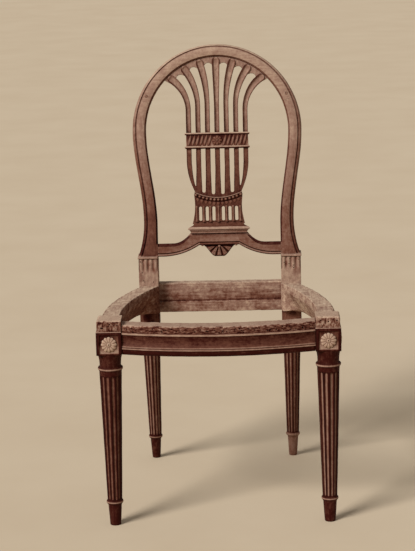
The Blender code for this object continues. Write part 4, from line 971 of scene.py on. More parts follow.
def rear_block_holes(side):
    """Tack holes in the raw part of a rear block."""
    random = np.random.default_rng(60 + side)
    front = []
    for _ in range(9):
        x = side * REAR_LEG_X + random.uniform(-0.017, 0.017)
        front.append((x, POST_FRONT_Y, random.uniform(0.419, 0.470)))
    outer = []
    for _ in range(6):
        y = REAR_POST_Y + random.uniform(-0.018, 0.012)
        outer.append((side * POST_OUTER_X, y, random.uniform(0.420, 0.468)))
    return (tack_holes(front, (0, 1, 0), 61 + side, TACK_RADIUS)
            + tack_holes(outer, (-side, 0, 0), 63 + side, FINE_TACK_RADIUS))


def build_rear_leg(side):
    """One rear leg with its block and its stile."""
    dust_and_light = REAR_FLUTE_DUST_AND_LIGHT + REAR_FLUTE_DUST_AND_LIGHT_BY_SIDE * side
    leg = turned_leg("rear_leg", REAR_TURNING, rear_leg_centre(side), dust_and_light)
    combine(leg, "UNION", [rear_block(side), rear_ledge(side), stile(side)])
    cutters = [peg_hole(*bottom_peg_ends(side)), peg_hole(*crest_peg_ends(side))]
    for _, rise in PEG_PAIR:
        cutters += [peg_hole(*peg_ends(kind, side, rise)) for kind in PAIRED_PEGS]
    return combine(leg, "DIFFERENCE", cutters + rear_block_holes(side))


def build_crest():
    """Arch between the two joints with the stiles, with pegs that come through to its front."""
    start = CREST_JOINT + CLEARANCE / HOOP_HALF
    crest = skin("crest", [arch_ring(angle) for angle in np.linspace(start, math.pi - start, 121)])
    ends = [crest_peg_ends(side) for _, side in SIDES]
    cutters = [peg_hole(outer, inner) for outer, inner in ends]
    for outer, inner in ends:
        along = (inner - outer) / np.linalg.norm(inner - outer)
        cutters.append(peg_hole(inner - along * 0.002, inner, before=0.0, beyond=0.004))
    return combine(crest, "DIFFERENCE", cutters)


# Bottom rail of the back

def bottom_rail_top(across):
    """Height of the bottom rail's upper edge."""
    run = BOTTOM_SWELL_START - BOTTOM_SWELL_END
    swell = np.clip(BOTTOM_SWELL_START - np.abs(across), 0, run)
    return BOTTOM_RAIL_END_HEIGHT + BOTTOM_SWELL_RISE * (swell / run) ** BOTTOM_SWELL_POWER


def bottom_rail_arch(across):
    """Height of the bottom rail's lower edge, without the pendant."""
    return ARCH_RISE * np.clip((ARCH_START - np.abs(across)) / (ARCH_START - ARCH_END), 0, 1) ** ARCH_POWER


def pendant_drop(across):
    """How far the pendant hangs below the bottom rail's lower edge."""
    return PENDANT_DROP * smooth_step((PENDANT_START - np.abs(across)) / (PENDANT_START - PENDANT_END))


def bottom_rail_section(across):
    """Section of the bottom rail as (depth, height) points."""
    top = float(bottom_rail_top(across))
    low = float(bottom_rail_arch(across))
    front = BOTTOM_RAIL_FRONT
    back = BOTTOM_RAIL_BACK
    points = [(back, low + 0.0012), (front + 0.0075, low), (front + 0.0032, low + 0.0001)]
    points += arc(front + 0.0026, low + 0.0028, -0.0026, 0.0026, -QUARTER, QUARTER, 8)
    points += [(front + 0.0030, low + 0.0057), (front + 0.0028, low + 0.0063),
               (front + 0.0008, low + 0.0067)]
    for share in np.linspace(0, 1, 7):
        height = between(low + 0.0075, top - BOTTOM_HOLLOW_DROP, share)
        points.append((front + 0.0006 * math.sin(math.pi * share), height))
    for angle in np.linspace(0, QUARTER, 6):
        depth = front + 0.0004 + 0.0052 * math.sin(angle) ** 1.2
        points.append((depth, top - 0.0068 + 0.0050 * (1 - math.cos(angle))))
    points += [(front + 0.0060, top - 0.0016), (front + 0.0060, top - 0.0004), (front + 0.0066, top)]
    return points + [(back - 0.0020, top), (back, top - 0.0020)]


def bottom_rail_body():
    """Serpentine body of the bottom rail."""
    half = BOTTOM_SWELL_END - 0.002
    edges = np.linspace(half, BOTTOM_RAIL_END, 50)
    across = np.concatenate((-edges[::-1], np.linspace(-half, half, 60)[1:-1], edges))
    return skin("bottom_rail", [back_cross_ring(bottom_rail_section(x), x) for x in across])


def pendant():
    """Carved leaf that hangs under the middle of the bottom rail."""
    top = ARCH_RISE + 0.0012
    back = BOTTOM_RAIL_BACK - 0.0004
    half = PENDANT_START - 0.0018
    rings = []
    for x in np.linspace(-half, half, 91):
        low = float(ARCH_RISE - pendant_drop(x))
        heights = between(low, top, np.linspace(0, 1, 26))
        section = [(pendant_depth(x, height, height - low), height) for height in heights]
        section += [(back, top), (back, (top + low) / 2), (back, low)]
        rings.append(back_cross_ring(section, x))
    return skin("pendant", rings)


def pendant_depth(across, height, above):
    """Depth of the pendant's carved front: five lobes that fan out from its top and roll back below."""
    down = ARCH_RISE + 0.004 - height
    wave = math.cos(math.atan2(across, down) * math.pi / PENDANT_LOBE_ANGLE)
    lobe = abs(wave) ** 0.7
    vein = math.exp(-(wave ** 2 - 1) ** 2 / 0.004)
    dish = smooth_step((down - 0.0045) / 0.0035) * smooth_step(above / 0.0026)
    relief = dish * (PENDANT_LOBE_RISE * lobe - PENDANT_VEIN_DEPTH * vein)
    return float(BOTTOM_RAIL_FRONT + PENDANT_ROOT_DEPTH - relief)


def moulded_bar(name, levels, half_width, front, back):
    """Bar across the back built up from (height, front, side) mouldings, mitred at its ends."""
    rings = []
    for height, proud, out in levels:
        low = front - proud
        high = back + min(max(proud, 0), 0.002)
        outline = rounded_rectangle(half_width + out, (high - low) / 2, 0.0005, 12, 2)
        rings.append(back_level_ring(outline + (0, (low + high) / 2), height))
    return skin(name, rings)


def plinth():
    """Moulded plinth on the bottom rail, under the splat."""
    low = PLINTH_TOP - PLINTH_HEIGHT
    levels = [(low - 0.002, -0.0008, 0.0), (low + 0.0004, -0.0006, 0.0)]
    for angle in np.linspace(0, QUARTER, 5):
        out = 0.0022 * (1 - math.cos(angle))
        levels.append((low + 0.0006 + 0.0022 * math.sin(angle), out - 0.0006, out))
    levels += [(low + 0.0029, 0.0019, 0.0024), (low + 0.0046, 0.0019, 0.0024),
               (low + 0.0050, 0.0014, 0.0020), (low + 0.0056, 0.0040, 0.0050),
               (low + 0.0062, 0.0048, 0.0058), (low + 0.0078, 0.0050, 0.0060)]
    for share in np.linspace(0.15, 1, 6):
        height = low + 0.0078 + (PLINTH_HEIGHT - 0.0078) * share
        fall = share ** 1.4
        levels.append((height, 0.0050 - 0.0058 * fall, 0.0060 - 0.0100 * fall))
    return moulded_bar("plinth", levels, PLINTH_HALF_WIDTH, BOTTOM_RAIL_FRONT, BOTTOM_RAIL_BACK)


def build_bottom_rail():
    """Bottom rail with its plinth and its pendant, a button on that and a small curl on each side."""
    depth = BOTTOM_RAIL_FRONT + 0.0030
    parts = [plinth(), pendant(), back_ball("button", (0, depth, ARCH_RISE - 0.0028), BUTTON_RADIUS)]
    for x in (-PENDANT_START, PENDANT_START):
        parts.append(back_ball("scroll", (x, depth, ARCH_RISE + 0.0008), SCROLL_RADIUS, (1.0, 0.9, 0.9)))
    return combine(bottom_rail_body(), "UNION", parts)


# Splat

def below_arch(angle, inset):
    """Across and height of a point inside the hoop's inner edge, at an angle from the vertical."""
    across = (HOOP_INNER_HALF - inset) * math.sin(angle)
    return across, HOOP_SPRING + (HOOP_INNER_RISE - inset) * math.cos(angle)


def crowded(count):
    """Shares from 0 to 1 that crowd towards 1."""
    return 1 - np.linspace(1, 0, count) ** 1.6


def rib_path(number):
    """Middle line of a fan rib as (across, height, turn, share of the widening)."""
    head_x, head_z = below_arch(RIB_FAN_ANGLE * number, RIB_HEAD_INSET)
    path = []
    if number == 0:
        for share in crowded(60):
            path.append((0.0, between(BAND_MIDDLE, head_z, share), 0.0, smooth_step((share - 0.4) / 0.6)))
        return path
    start = RIB_SPACING * number
    turn = RIB_TURN_ANGLE * abs(number)
    radius = abs(head_x - start) / (1 - math.cos(turn))
    bend = head_z - radius * math.sin(turn)
    for share in np.linspace(0, 1, 16)[:-1]:
        path.append((start, between(BAND_MIDDLE, bend, share), 0.0, 0.0))
    sign = math.copysign(1, number)
    for share in crowded(44):
        angle = turn * share
        across = start + sign * radius * (1 - math.cos(angle))
        path.append((across, bend + radius * math.sin(angle), sign * angle, smooth_step(share)))
    return path


def rib_section(half, front, hollow):
    """Section of a rib as (across, depth) points: narrow fillets on both sides of a hollow."""
    right = [(half * 0.86, front), (half * 0.95, front + 0.0003), (half, front + RIB_SHOULDER),
             (half, SPLAT_BACK - 0.0008), (half - 0.0008, SPLAT_BACK)]
    left = [(-across, depth) for across, depth in reversed(right)]
    return np.array(left + crown(0.0, half * 0.74, front + 0.0001, -hollow, 11) + right)


def rib_shade(left, hollow, right):
    """Painted shade round the section of a rib: its left edge, its hollow and its right edge."""
    falls = (left * 0.85, left * 0.65, left * 0.25, 0.0, 0.0, 0.0, 0.0, 0.0, 0.0, right * 0.35, right * 0.7)
    return [left] * 5 + [hollow + fall for fall in falls] + [right] * 5


def swept_rib(name, stations, shade):
    """Rib of the splat through stations of (across, height, turn, half width, front, hollow)."""
    rings = []
    for x, z, turn, half, front, hollow in stations:
        across, depth = rib_section(half, front, hollow).T
        rings.append(to_back(points_at(x + across * math.cos(turn), depth, z - across * math.sin(turn))))
    return skin(name, rings, shade)


def fan_rib(number):
    """Hollowed fan rib that widens towards the arch and has a round head."""
    path = rib_path(number)
    steps = [math.dist(start[:2], end[:2]) for start, end in zip(path, path[1:])]
    length = np.concatenate(([0], np.cumsum(steps)))
    stations = []
    for (x, z, turn, share), rest in zip(path, length[-1] - length):
        half = between(RIB_WIDTH, RIB_HEAD_WIDTH, share) / 2
        head = min(rest / half + 0.02, 1)
        end = min(max((rest - 0.0034) / half, 0), 1)
        width = half * math.sqrt(1 - (1 - head) ** 2)
        hollow = RIB_HOLLOW * math.sqrt(1 - (1 - end) ** 2)
        stations.append((x, z, turn, width, RIB_FRONT, hollow))
    # Painted shade along the fan ribs' edges, much darker on the left.
    return swept_rib("fan_rib", stations, rib_shade(-0.60, 0.02, -0.28))


def fan_web():
    """Recessed web between the heads of the ribs, cut out in an arch from each head to the next."""
    limit = RIB_FAN_ANGLE * RIBS[-1] + FAN_EDGE_MARGIN
    outline = [below_arch(angle, WEB_TOP) for angle in np.linspace(-limit, limit, 81)]
    for number in reversed(RIBS[:-1]):
        for share in np.linspace(1, 0, 17):
            inset = between(WEB_ROOT, WEB_DEPTH, 4 * share * (1 - share))
            outline.append(below_arch(RIB_FAN_ANGLE * (number + share), inset))
    return plate("fan_web", outline, SPLAT_WEB_FRONT, SPLAT_PLATE_BACK)


def bowl_half_width(height):
    """Half width of the bowl at a height."""
    fall = np.clip((BOWL_SHOULDER - np.asarray(height, float)) / (BOWL_SHOULDER - BOWL_BOTTOM), 0, None)
    return between(BAND_HALF_WIDTH, BOWL_BOTTOM_HALF, fall ** 2)


def collar_height(across):
    """Height of the middle of the collar."""
    return COLLAR_RISE + COLLAR_SAG * (np.asarray(across, float) / COLLAR_HALF_WIDTH) ** 2


def bowl_rib(number):
    """Rib of the bowl from the band down into the collar; the outer ones grow narrow."""
    low = float(collar_height(min(abs(number) * RIB_SPACING, BOWL_FOOT_HALF)))
    stations = []
    for share in np.linspace(0, 1, 40):
        height = between(BAND_MIDDLE, low, share)
        fade = float(smooth_step((share - 0.45) / 0.50))
        half = RIB_WIDTH / 2 + BOWL_RIB_SPREAD * fade
        x = number * RIB_SPACING
        if abs(number) == RIBS[-1]:
            half = RIB_WIDTH / 2 * (1 - 0.42 * fade)
            x = math.copysign(float(bowl_half_width(height)) - half, number)
        stations.append((x, height, 0.0, half, RIB_FRONT + 0.0010 * fade, RIB_HOLLOW * (1 - 0.75 * fade)))
    # Painted shade along the bowl ribs' edges, darker on the left.
    return swept_rib("bowl_rib", stations, rib_shade(-0.16, 0.02, -0.10))


def bowl_cup():
    """Solid cup of the bowl below its slots, with the slots' round feet."""
    outline = [(x, float(collar_height(x))) for x in np.linspace(-CUP_BOTTOM_HALF, CUP_BOTTOM_HALF, 25)]
    heights = np.linspace(CUP_BOTTOM, BOWL_SLOT_TOP, 30)
    edge = [(float(bowl_half_width(height)) - CUP_OVERLAP, height) for height in heights]
    outline += edge
    for number in reversed(RIBS[:-1]):
        outline += slot_feet(number)
    outline += [(-x, height) for x, height in reversed(edge)]
    return plate("bowl_cup", outline, CUP_FRONT, SPLAT_PLATE_BACK)


def slot_feet(number):
    """Edge of one slot of the bowl, down one side and up the other, round at its foot."""
    left = number * RIB_SPACING + RIB_WIDTH / 2 - CUP_OVERLAP
    right = (number + 1) * RIB_SPACING - RIB_WIDTH / 2 + CUP_OVERLAP
    middle = (left + right) / 2
    half = (RIB_SPACING - RIB_WIDTH) / 2 - BOWL_RIB_SPREAD
    foot = float(collar_height(min(abs(middle), BOWL_FOOT_HALF))) + BOWL_RIM + half
    if number in (RIBS[0], RIBS[-1] - 1):
        middle -= math.copysign(END_SLOT_SHIFT, middle)
        half = END_SLOT_HALF
        foot += END_SLOT_RISE
    points = [(right, BOWL_SLOT_TOP), (right, foot + SLOT_TAPER_RUN)]
    points += arc(middle, foot, half, half, 0, -math.pi, 15)
    return points + [(left, foot + SLOT_TAPER_RUN), (left, BOWL_SLOT_TOP)]


def band():
    """Band across the splat with a moulded fillet above and below."""
    levels = []
    for low, high in ((BAND_BOTTOM, BAND_BOTTOM + BAND_FILLET), (BAND_TOP - BAND_FILLET, BAND_TOP)):
        levels += [(low + 0.0002, 0.0, 0.0), (low + 0.0008, 0.0018, 0.0018), (low + 0.0016, 0.0028, 0.0030),
                   (high - 0.0022, 0.0030, 0.0034), (high - 0.0010, 0.0022, 0.0026),
                   (high - 0.0002, 0.0006, 0.0006)]
    return moulded_bar("band", levels, BAND_HALF_WIDTH, BAND_FRONT + 0.0004, BAND_BACK)


def band_leaf(middle):
    """One slanting carved leaf on the band."""
    low = BAND_BOTTOM + BAND_FILLET + 0.0004
    high = BAND_TOP - BAND_FILLET - 0.0002
    back = BAND_FRONT + 0.003
    rings = []
    for share in np.linspace(0, 1, 16):
        x = middle + BAND_LEAF_LEAN * (share - 0.5)
        half = BAND_LEAF_HALF * (0.40 + 0.60 * math.sin(math.pi * (share * 0.9 + 0.06)) ** 0.7)
        rise = BAND_LEAF_RISE * math.sin(math.pi * (0.10 + 0.82 * share)) ** 0.5
        section = crown(x, half, BAND_FRONT + 0.0006, rise, 9, 0.8) + [(x + half, back), (x - half, back)]
        rings.append(back_level_ring(section, between(low, high, share)))
    return skin("band_leaf", rings)


def flower(radius, height, petals, button_share=0.27):
    """Rings of a carved flower on its own axes, right, up and out, from rim to middle, and their shade:
    painted shade at the rim, in the grooves between petals and round the button.
    """
    around = petals * 12
    turn = np.arange(around) * FULL_TURN / around
    notch = np.abs(np.cos(turn * petals / 2))
    vein = 1 - np.clip(np.abs(np.sin(turn * petals / 2)) * 3.2, 0, 1)
    groove = 0.30 * (1 - notch ** 0.8) + 0.07 * vein
    rings = [points_at(np.cos(turn), np.sin(turn), 0.0) * radius * 0.9]
    shades = [np.full(around, -0.3)]
    for share in np.linspace(1, 0.06, 22):
        edge = radius * (1 - 0.13 * (1 - notch ** 0.55) * smooth_step((share - 0.55) / 0.45)) * share
        button = smooth_step((button_share - share) / 0.05)
        petal = math.sin(math.pi * min((1.02 - share) / 0.62, 1) ** 0.8 * 0.62)
        lift = height * (0.34 + 0.50 * petal * (1 - groove)) * (1 - button)
        dimple = 1 - 0.35 * smooth_step((0.11 - share) / 0.05)
        dome = math.sqrt(max(1 - (share / button_share) ** 2, 0))
        knob = height * (0.60 + 0.40 * dome) * dimple * button
        rings.append(points_at(np.cos(turn) * edge, np.sin(turn) * edge, lift + knob))
        # Painted shade in the grooves between the petals and in a ring round the button.
        moat = math.exp(-((share - 0.30) / 0.05) ** 2)
        shades.append((0.04 - 0.40 * (1 - notch ** 0.5)) * (1 - button) - 0.24 * moat)
    return np.array(rings), np.array(shades)


def band_flower():
    """Small oval flower in the middle of the band."""
    rings, shades = flower(BAND_FLOWER_RADIUS, BAND_FLOWER_HEIGHT, BAND_FLOWER_PETALS)
    right, up, out = np.moveaxis(rings, -1, 0)
    placed = points_at(right * 1.06, BAND_FRONT + 0.0010 - out, BAND_MIDDLE + up)
    return skin("band_flower", to_back(placed), shades - 0.17)


def collar():
    """Hanging swag under the bowl: a fillet and a backing for the beads."""
    back = BAND_BACK
    rings = []
    for x in np.linspace(-COLLAR_HALF_WIDTH, COLLAR_HALF_WIDTH, 60):
        middle = float(collar_height(x))
        section = [(back, middle - 0.0042), (0.0048, middle - 0.0042), (0.0036, middle - 0.0030),
                   (0.0036, middle + 0.0018)]
        section += arc(0.0024, middle + 0.0032, -0.0014, 0.0011, -QUARTER, QUARTER, 6)
        section += [(0.0046, middle + 0.0048), (back, middle + 0.0048)]
        rings.append(back_cross_ring(section, x))
    return skin("collar", rings)


def collar_beads():
    """Row of beads along the swag."""
    spacing = (2 * COLLAR_HALF_WIDTH - 0.006) / (COLLAR_BEADS - 1)
    beads = []
    for number in range(COLLAR_BEADS):
        x = (number - (COLLAR_BEADS - 1) / 2) * spacing
        centre = (x, 0.0034, float(collar_height(x)) - 0.0012)
        beads.append(back_ball("bead", centre, COLLAR_BEAD_RADIUS, (1.0, 1.05, 0.95)))
    return beads


def basket_outline():
    """Outline of the little colonnade, open below between its columns."""
    top = float(collar_height(BASKET_TOP_HALF))
    edge = []
    for share in np.linspace(0, 1, 16):
        x = BASKET_HALF_WIDTH + 0.0040 * (1 - share) ** 2.5 - 0.0022 * math.sin(math.pi * share)
        edge.append((x, between(BASKET_LOW, top, share)))
    across = np.linspace(BASKET_TOP_HALF, -BASKET_TOP_HALF, 25)
    outline = edge + [(x, float(collar_height(x))) for x in across]
    outline += [(-x, height) for x, height in reversed(edge)]
    half = BASKET_SLOT_HALF
    for middle in (*(-place for place in reversed(BASKET_SLOTS)), *BASKET_SLOTS):
        outline.append((middle - half, BASKET_LOW))
        outline += arc(middle, PLINTH_TOP + BASKET_SLOT_RISE - half, half, half, math.pi, 0, 13)
        outline.append((middle + half, BASKET_LOW))
    return outline


def basket_column(x):
    """Half-round column in front of the colonnade's plate, with a cap and a flared foot."""
    low = BASE_TOP - 0.003
    high = PLINTH_TOP + BASKET_SLOT_RISE + 0.0015
    back = SPLAT_BACK - 0.004
    rings = []
    for share in np.linspace(0, 1, 22):
        foot = (1 - share) ** 6
        cap = float(smooth_step((share - 0.84) / 0.06) * smooth_step((1.0 - share) / 0.05))
        half = 0.0021 + 0.0017 * foot + 0.0009 * cap
        front = 0.0032 - 0.0014 * foot - 0.0008 * cap
        section = [(x - half, back), (x - half, COLUMN_BASE)]
        section += crown(x, half, 0.0062, 0.0062 - front, 9)
        section += [(x + half, COLUMN_BASE), (x + half, back)]
        rings.append(back_level_ring(section, between(low, high, share)))
    return skin("column", rings)


def basket_columns():
    """Columns between the slots of the colonnade and at its ends."""
    places = [(left + right) / 2 for left, right in zip(BASKET_SLOTS, BASKET_SLOTS[1:])]
    places.append(BASKET_SLOTS[-1] + 0.0080)
    return [basket_column(x) for x in (*(-place for place in reversed(places)), 0.0, *places)]


def basket_sill():
    """Sill behind the splat's base that closes the colonnade's slots with round feet."""
    half = BASKET_HALF_WIDTH - 0.004
    high = BASE_TOP - 0.0004 + BASKET_SLOT_HALF
    outline = [(half, BASKET_LOW), (half, high)]
    for middle in (*reversed(BASKET_SLOTS), *(-place for place in BASKET_SLOTS)):
        outline += arc(middle, high, BASKET_SLOT_HALF + 0.0002, BASKET_SLOT_HALF, 0, -math.pi, 11)
    outline += [(-half, high), (-half, BASKET_LOW)]
    return plate("basket_sill", outline, SILL_FRONT, SILL_BACK)


def basket_drop(x):
    """Small carved leaf that hangs from the swag between the columns' arches."""
    top = float(collar_height(x)) - 0.0050
    rings = []
    for share in np.linspace(0.04, 0.98, 9):
        half = DROP_HALF * math.sin(math.pi * share ** 0.7) ** 0.8 + 0.0003
        rise = DROP_RISE * math.sin(math.pi * share ** 0.8) ** 0.6
        section = crown(x, half, 0.0052, rise, 7) + [(x + half, 0.0072), (x - half, 0.0072)]
        rings.append(back_level_ring(section, top - DROP_LENGTH * share))
    return skin("drop", rings)


def splat_base():
    """Hollow moulding at the splat's foot, on the plinth."""
    low = PLINTH_TOP
    levels = [(low - 0.0012, 0.0026, 0.0022), (low + 0.0016, 0.0026, 0.0022),
              (low + 0.0022, 0.0018, 0.0014)]
    for angle in np.linspace(0, QUARTER, 6):
        rise = math.sin(angle)
        proud = 0.0012 - 0.0036 * rise * (2 - rise)
        levels.append((low + 0.0026 + 0.0052 * rise, proud, 0.0010 - 0.0030 * rise))
    levels += [(low + 0.0086, -0.0012, -0.0016), (BASE_TOP - 0.0012, 0.0008, 0.0004),
               (BASE_TOP, 0.0, -0.0004)]
    return moulded_bar("splat_base", levels, BASE_HALF_WIDTH, SPLAT_FRONT, SPLAT_BACK)


def build_splat():
    """Pierced splat: fan, band, bowl, swag and colonnade."""
    parts = [fan_rib(number) for number in RIBS] + [bowl_rib(number) for number in RIBS]
    parts += [fan_web(), bowl_cup(), collar(), splat_base(), band_flower(), basket_sill()]
    parts.append(plate("basket", basket_outline(), BASKET_FRONT, BASKET_BACK))
    parts += collar_beads() + basket_columns()
    parts += [basket_drop(number * DROP_SPACING) for number in range(-5, 6)]
    for _, side in SIDES:
        for number in range(BAND_LEAVES):
            parts.append(band_leaf(side * (BAND_LEAF_START + BAND_LEAF_SPACING * number)))
    return combine(band(), "UNION", parts)


# Seat rails

def straight(start, end, steps):
    """Section points from start up to end, without end itself."""
    return [tuple(between(np.array(start), np.array(end), step / steps)) for step in range(steps)]


def rated(points, roughness):
    """Section points with their roughness."""
    return [(*point, roughness) for point in points]


def rail_moulding():
    """Smooth part of a rail's section as (depth, height) points, from its underside up."""
    points = [(0.0050, 0.0006), (0.0030, 0.0040), (0.0022, 0.0080), (0.0022, BASE_FILLET_TOP)]
    points += arc(0.0021, BASE_FILLET_TOP + 0.0022, -0.0021, 0.0020, -QUARTER, QUARTER, 9)
    points += [(0.0024, 0.0153), (0.0012, 0.0156), (0.0010, BEAD_TOP - 0.0003), (0.0014, BEAD_TOP)]
    for share in np.linspace(0.06, 0.94, 15):
        depth = between(0.0016, HOLLOW_DEPTH, math.sin(math.pi * share) ** 0.8)
        points.append((depth, between(BEAD_TOP, HOLLOW_TOP, share)))
    points += [(0.0014, HOLLOW_TOP), (0.0009, HOLLOW_TOP + 0.0004), (0.0008, UPPER_FILLET_TOP - 0.0006)]
    return points


def tacking_edge(top):
    """Torn part of a rail's section above its moulding."""
    points = []
    for share in np.linspace(0, 1, 13):
        height = between(UPPER_FILLET_TOP + 0.0004, top - TOP_EDGE_DROP, share)
        points.append((REBATE_DEPTH - 0.0002, height, 0.4 + 0.6 * float(smooth_step(share * 2))))
    for angle in np.linspace(0.2, 1, 5) * QUARTER:
        depth = between(REBATE_DEPTH, TOP_EDGE_DEPTH, 1 - math.cos(angle))
        points.append((depth, top - TOP_EDGE_DROP * (1 - math.sin(angle)), 1.0))
    return points


def rail_section(thickness, top, cut=0.0):
    """Section of a front or side rail: depth, height above its underside, and roughness.

    Cut is the share of the slope under a side rail's inner lip.
    """
    toe = (RAIL_TOE, 0.0)
    lip = (thickness, top - SIDE_RAIL_LIP)
    foot = (thickness - SIDE_RAIL_CUT * cut, SIDE_RAIL_CUT_RISE * cut)
    points = [(*toe, 0.1)] + rated(rail_moulding(), 0.0) + [(0.0014, UPPER_FILLET_TOP, 0.15)]
    points += tacking_edge(top)
    points += rated(reversed(straight((thickness - 0.001, top), (TOP_EDGE_DEPTH, top), 19)), 0.35)
    points += rated(straight((thickness, top - 0.001), lip, 5) + straight(lip, foot, 11), 0.3)
    return points + rated(straight(foot, toe, 8), 0.2)


def roughness_of_rail(points, weight, along, seed):
    """Displacement of raw rail surfaces: torn fibres along the rail, and chewed edges."""
    stretch = np.full(3, 520.0)
    stretch[along] = 110.0
    fibres = noise_vectors(points, stretch, seed) * 0.0006
    lumps = noise_vectors(points, 150, seed + 5) * 0.0006
    grit = noise_vectors(points, 900, seed + 9) * 0.0002
    shift = (fibres + lumps + grit) * weight[:, None]
    shift[:, along] = 0.0
    return shift


def rough_rail(name, rings, weight, along, seed):
    """Rail through its rings, roughened by the weight of each point of its section."""
    rings = np.array(rings)
    points = rings.reshape(-1, 3)
    points = points + roughness_of_rail(points, np.tile(weight, len(rings)), along, seed)
    return skin(name, points.reshape(rings.shape))


def front_rail_face(x):
    """Y of the front rail's outermost face."""
    bow = FRONT_RAIL_BOW * (1 - (np.asarray(x, float) / BLOCK_INNER_X) ** 2)
    return BLOCK_FRONT_Y + FRONT_RAIL_SETBACK - bow


def build_front_rail():
    """Bowed and moulded front rail with its raw tacking edge."""
    depth, height, weight = np.transpose(rail_section(FRONT_RAIL_THICKNESS, FRONT_RAIL_HEIGHT))
    half = BLOCK_INNER_X - CLEARANCE
    rings = []
    for x in np.linspace(-half, half, 261):
        rings.append(points_at(x, front_rail_face(x) + depth, FRONT_RAIL_BOTTOM + height))
    rail = rough_rail("front_rail", rings, weight, 0, 70)
    random = np.random.default_rng(71)
    edge = [(x, front_rail_face(x) + REBATE_DEPTH, FRONT_RAIL_BOTTOM + random.uniform(0.0475, 0.0555))
            for x in random.uniform(-0.185, 0.185, FRONT_EDGE_HOLES)]
    top = [(x, front_rail_face(x) + random.uniform(0.010, 0.030), FRONT_RAIL_TOP)
           for x in random.uniform(-0.18, 0.18, FRONT_TOP_HOLES)]
    holes = tack_holes(edge, (0, 1, 0.15), 72, TACK_RADIUS)
    holes += tack_holes(top, (0, 0, -1), 73, FINEST_TACK_RADIUS)
    return combine(rail, "DIFFERENCE", holes)


def side_rail_share(y):
    """Share of the way from the front block to the rear block."""
    return (np.asarray(y, float) - BLOCK_BACK_Y) / (POST_FRONT_Y - BLOCK_BACK_Y)


def side_rail_face(y):
    """Distance of a side rail's outermost face from the chair's middle plane."""
    return between(BLOCK_OUTER_X - SIDE_RAIL_SETBACK, POST_OUTER_X, side_rail_share(y) ** 2)


def side_rail_slope(y):
    """Slope of that face against the chair's depth."""
    narrowing = BLOCK_OUTER_X - SIDE_RAIL_SETBACK - POST_OUTER_X
    return -2 * narrowing * side_rail_share(y) / (POST_FRONT_Y - BLOCK_BACK_Y)


def side_rail_top(y):
    """Height of a side rail's top."""
    return between(SEAT_FRONT_TOP, SEAT_REAR_TOP, side_rail_share(y))


def side_rail_bottom(y):
    """Height of a side rail's underside."""
    return side_rail_top(y) - SIDE_RAIL_HEIGHT + SIDE_RAIL_TAPER * side_rail_share(y)


def side_rail_cut(y):
    """Share of the cut under a side rail's inner lip; the butts at both ends keep the full section."""
    run = np.minimum(y - BLOCK_BACK_Y, POST_FRONT_Y - y) - SIDE_RAIL_BUTT
    return np.clip(run / SIDE_RAIL_CUT_RUN, 0, 1)


def build_side_rail(side):
    """Curved and moulded side rail, raw on top and inside."""
    rings = []
    for y in np.linspace(BLOCK_BACK_Y + CLEARANCE, POST_FRONT_Y - CLEARANCE, 221):
        top = float(side_rail_top(y) - side_rail_bottom(y))
        section = rail_section(SIDE_RAIL_THICKNESS, top, float(side_rail_cut(y)))
        depth, height, weight = np.transpose(section)
        x = side * (side_rail_face(y) - depth * math.hypot(1, float(side_rail_slope(y))))
        rings.append(points_at(x, y, side_rail_bottom(y) + height))
    rail = rough_rail("side_rail", rings, weight, 1, 80 + side)
    random = np.random.default_rng(82 + side)
    top = [(side * (side_rail_face(y) - random.uniform(0.010, 0.020)), y, side_rail_top(y))
           for y in random.uniform(-0.172, 0.132, SIDE_TOP_HOLES)]
    edge = [(side * (side_rail_face(y) - REBATE_DEPTH), y, side_rail_top(y) - random.uniform(0.006, 0.012))
            for y in random.uniform(-0.175, 0.135, SIDE_EDGE_HOLES)]
    holes = tack_holes(top, (0, 0, -1), 84 + side, TACK_RADIUS)
    holes += tack_holes(edge, (-side, 0, 0), 86 + side, TACK_RADIUS)
    return combine(rail, "DIFFERENCE", holes)


def rear_rail_section():
    """Section of the rear rail as (y, height, roughness) points."""
    front = POST_BACK_Y - REAR_RAIL_THICKNESS
    step = front - REAR_RAIL_STEP
    corners = [(front, SEAT_REAR_TOP - 0.001), (front, REAR_RAIL_STEP_TOP + 0.0008),
               (step + 0.0008, REAR_RAIL_STEP_TOP), (step, REAR_RAIL_STEP_TOP - 0.0008),
               (step, REAR_RAIL_BOTTOM + 0.001), (step + 0.001, REAR_RAIL_BOTTOM),
               (POST_BACK_Y - 0.0015, REAR_RAIL_BOTTOM), (POST_BACK_Y, REAR_RAIL_BOTTOM + 0.0015),
               (POST_BACK_Y, SEAT_REAR_TOP - 0.0015), (POST_BACK_Y - 0.0015, SEAT_REAR_TOP),
               (front + 0.001, SEAT_REAR_TOP)]
    points = []
    for start, end in zip(corners, corners[1:] + corners[:1]):
        points += straight(start, end, max(1, round(math.dist(start, end) / 0.0022)))
    return [(y, height, 0.1 if y > POST_BACK_Y - 0.001 else 0.45) for y, height in points]


def build_rear_rail():
    """Plain raw rear rail with a step low on its inner face."""
    y, height, weight = np.transpose(rear_rail_section())
    half = POST_INNER_X - CLEARANCE
    rings = [points_at(x, y, height) for x in np.linspace(-half, half, 131)]
    rail = rough_rail("rear_rail", rings, weight, 0, 90)
    random = np.random.default_rng(91)
    top = [(x, random.uniform(0.168, 0.182), SEAT_REAR_TOP)
           for x in random.uniform(-0.12, 0.12, REAR_TOP_HOLES)]
    return combine(rail, "DIFFERENCE", tack_holes(top, (0, 0, -1), 92, FINE_TACK_RADIUS))


# Rosettes and pegs

def build_rosette(side, facing_front):
    """Carved daisy in a sunk panel."""
    rings, shades = flower(ROSETTE_RADIUS, ROSETTE_HEIGHT, ROSETTE_PETALS)
    right, up, out = np.moveaxis(rings, -1, 0)
    return skin("rosette", on_block(side, facing_front, right, up, PANEL_DEPTH - out), shades)


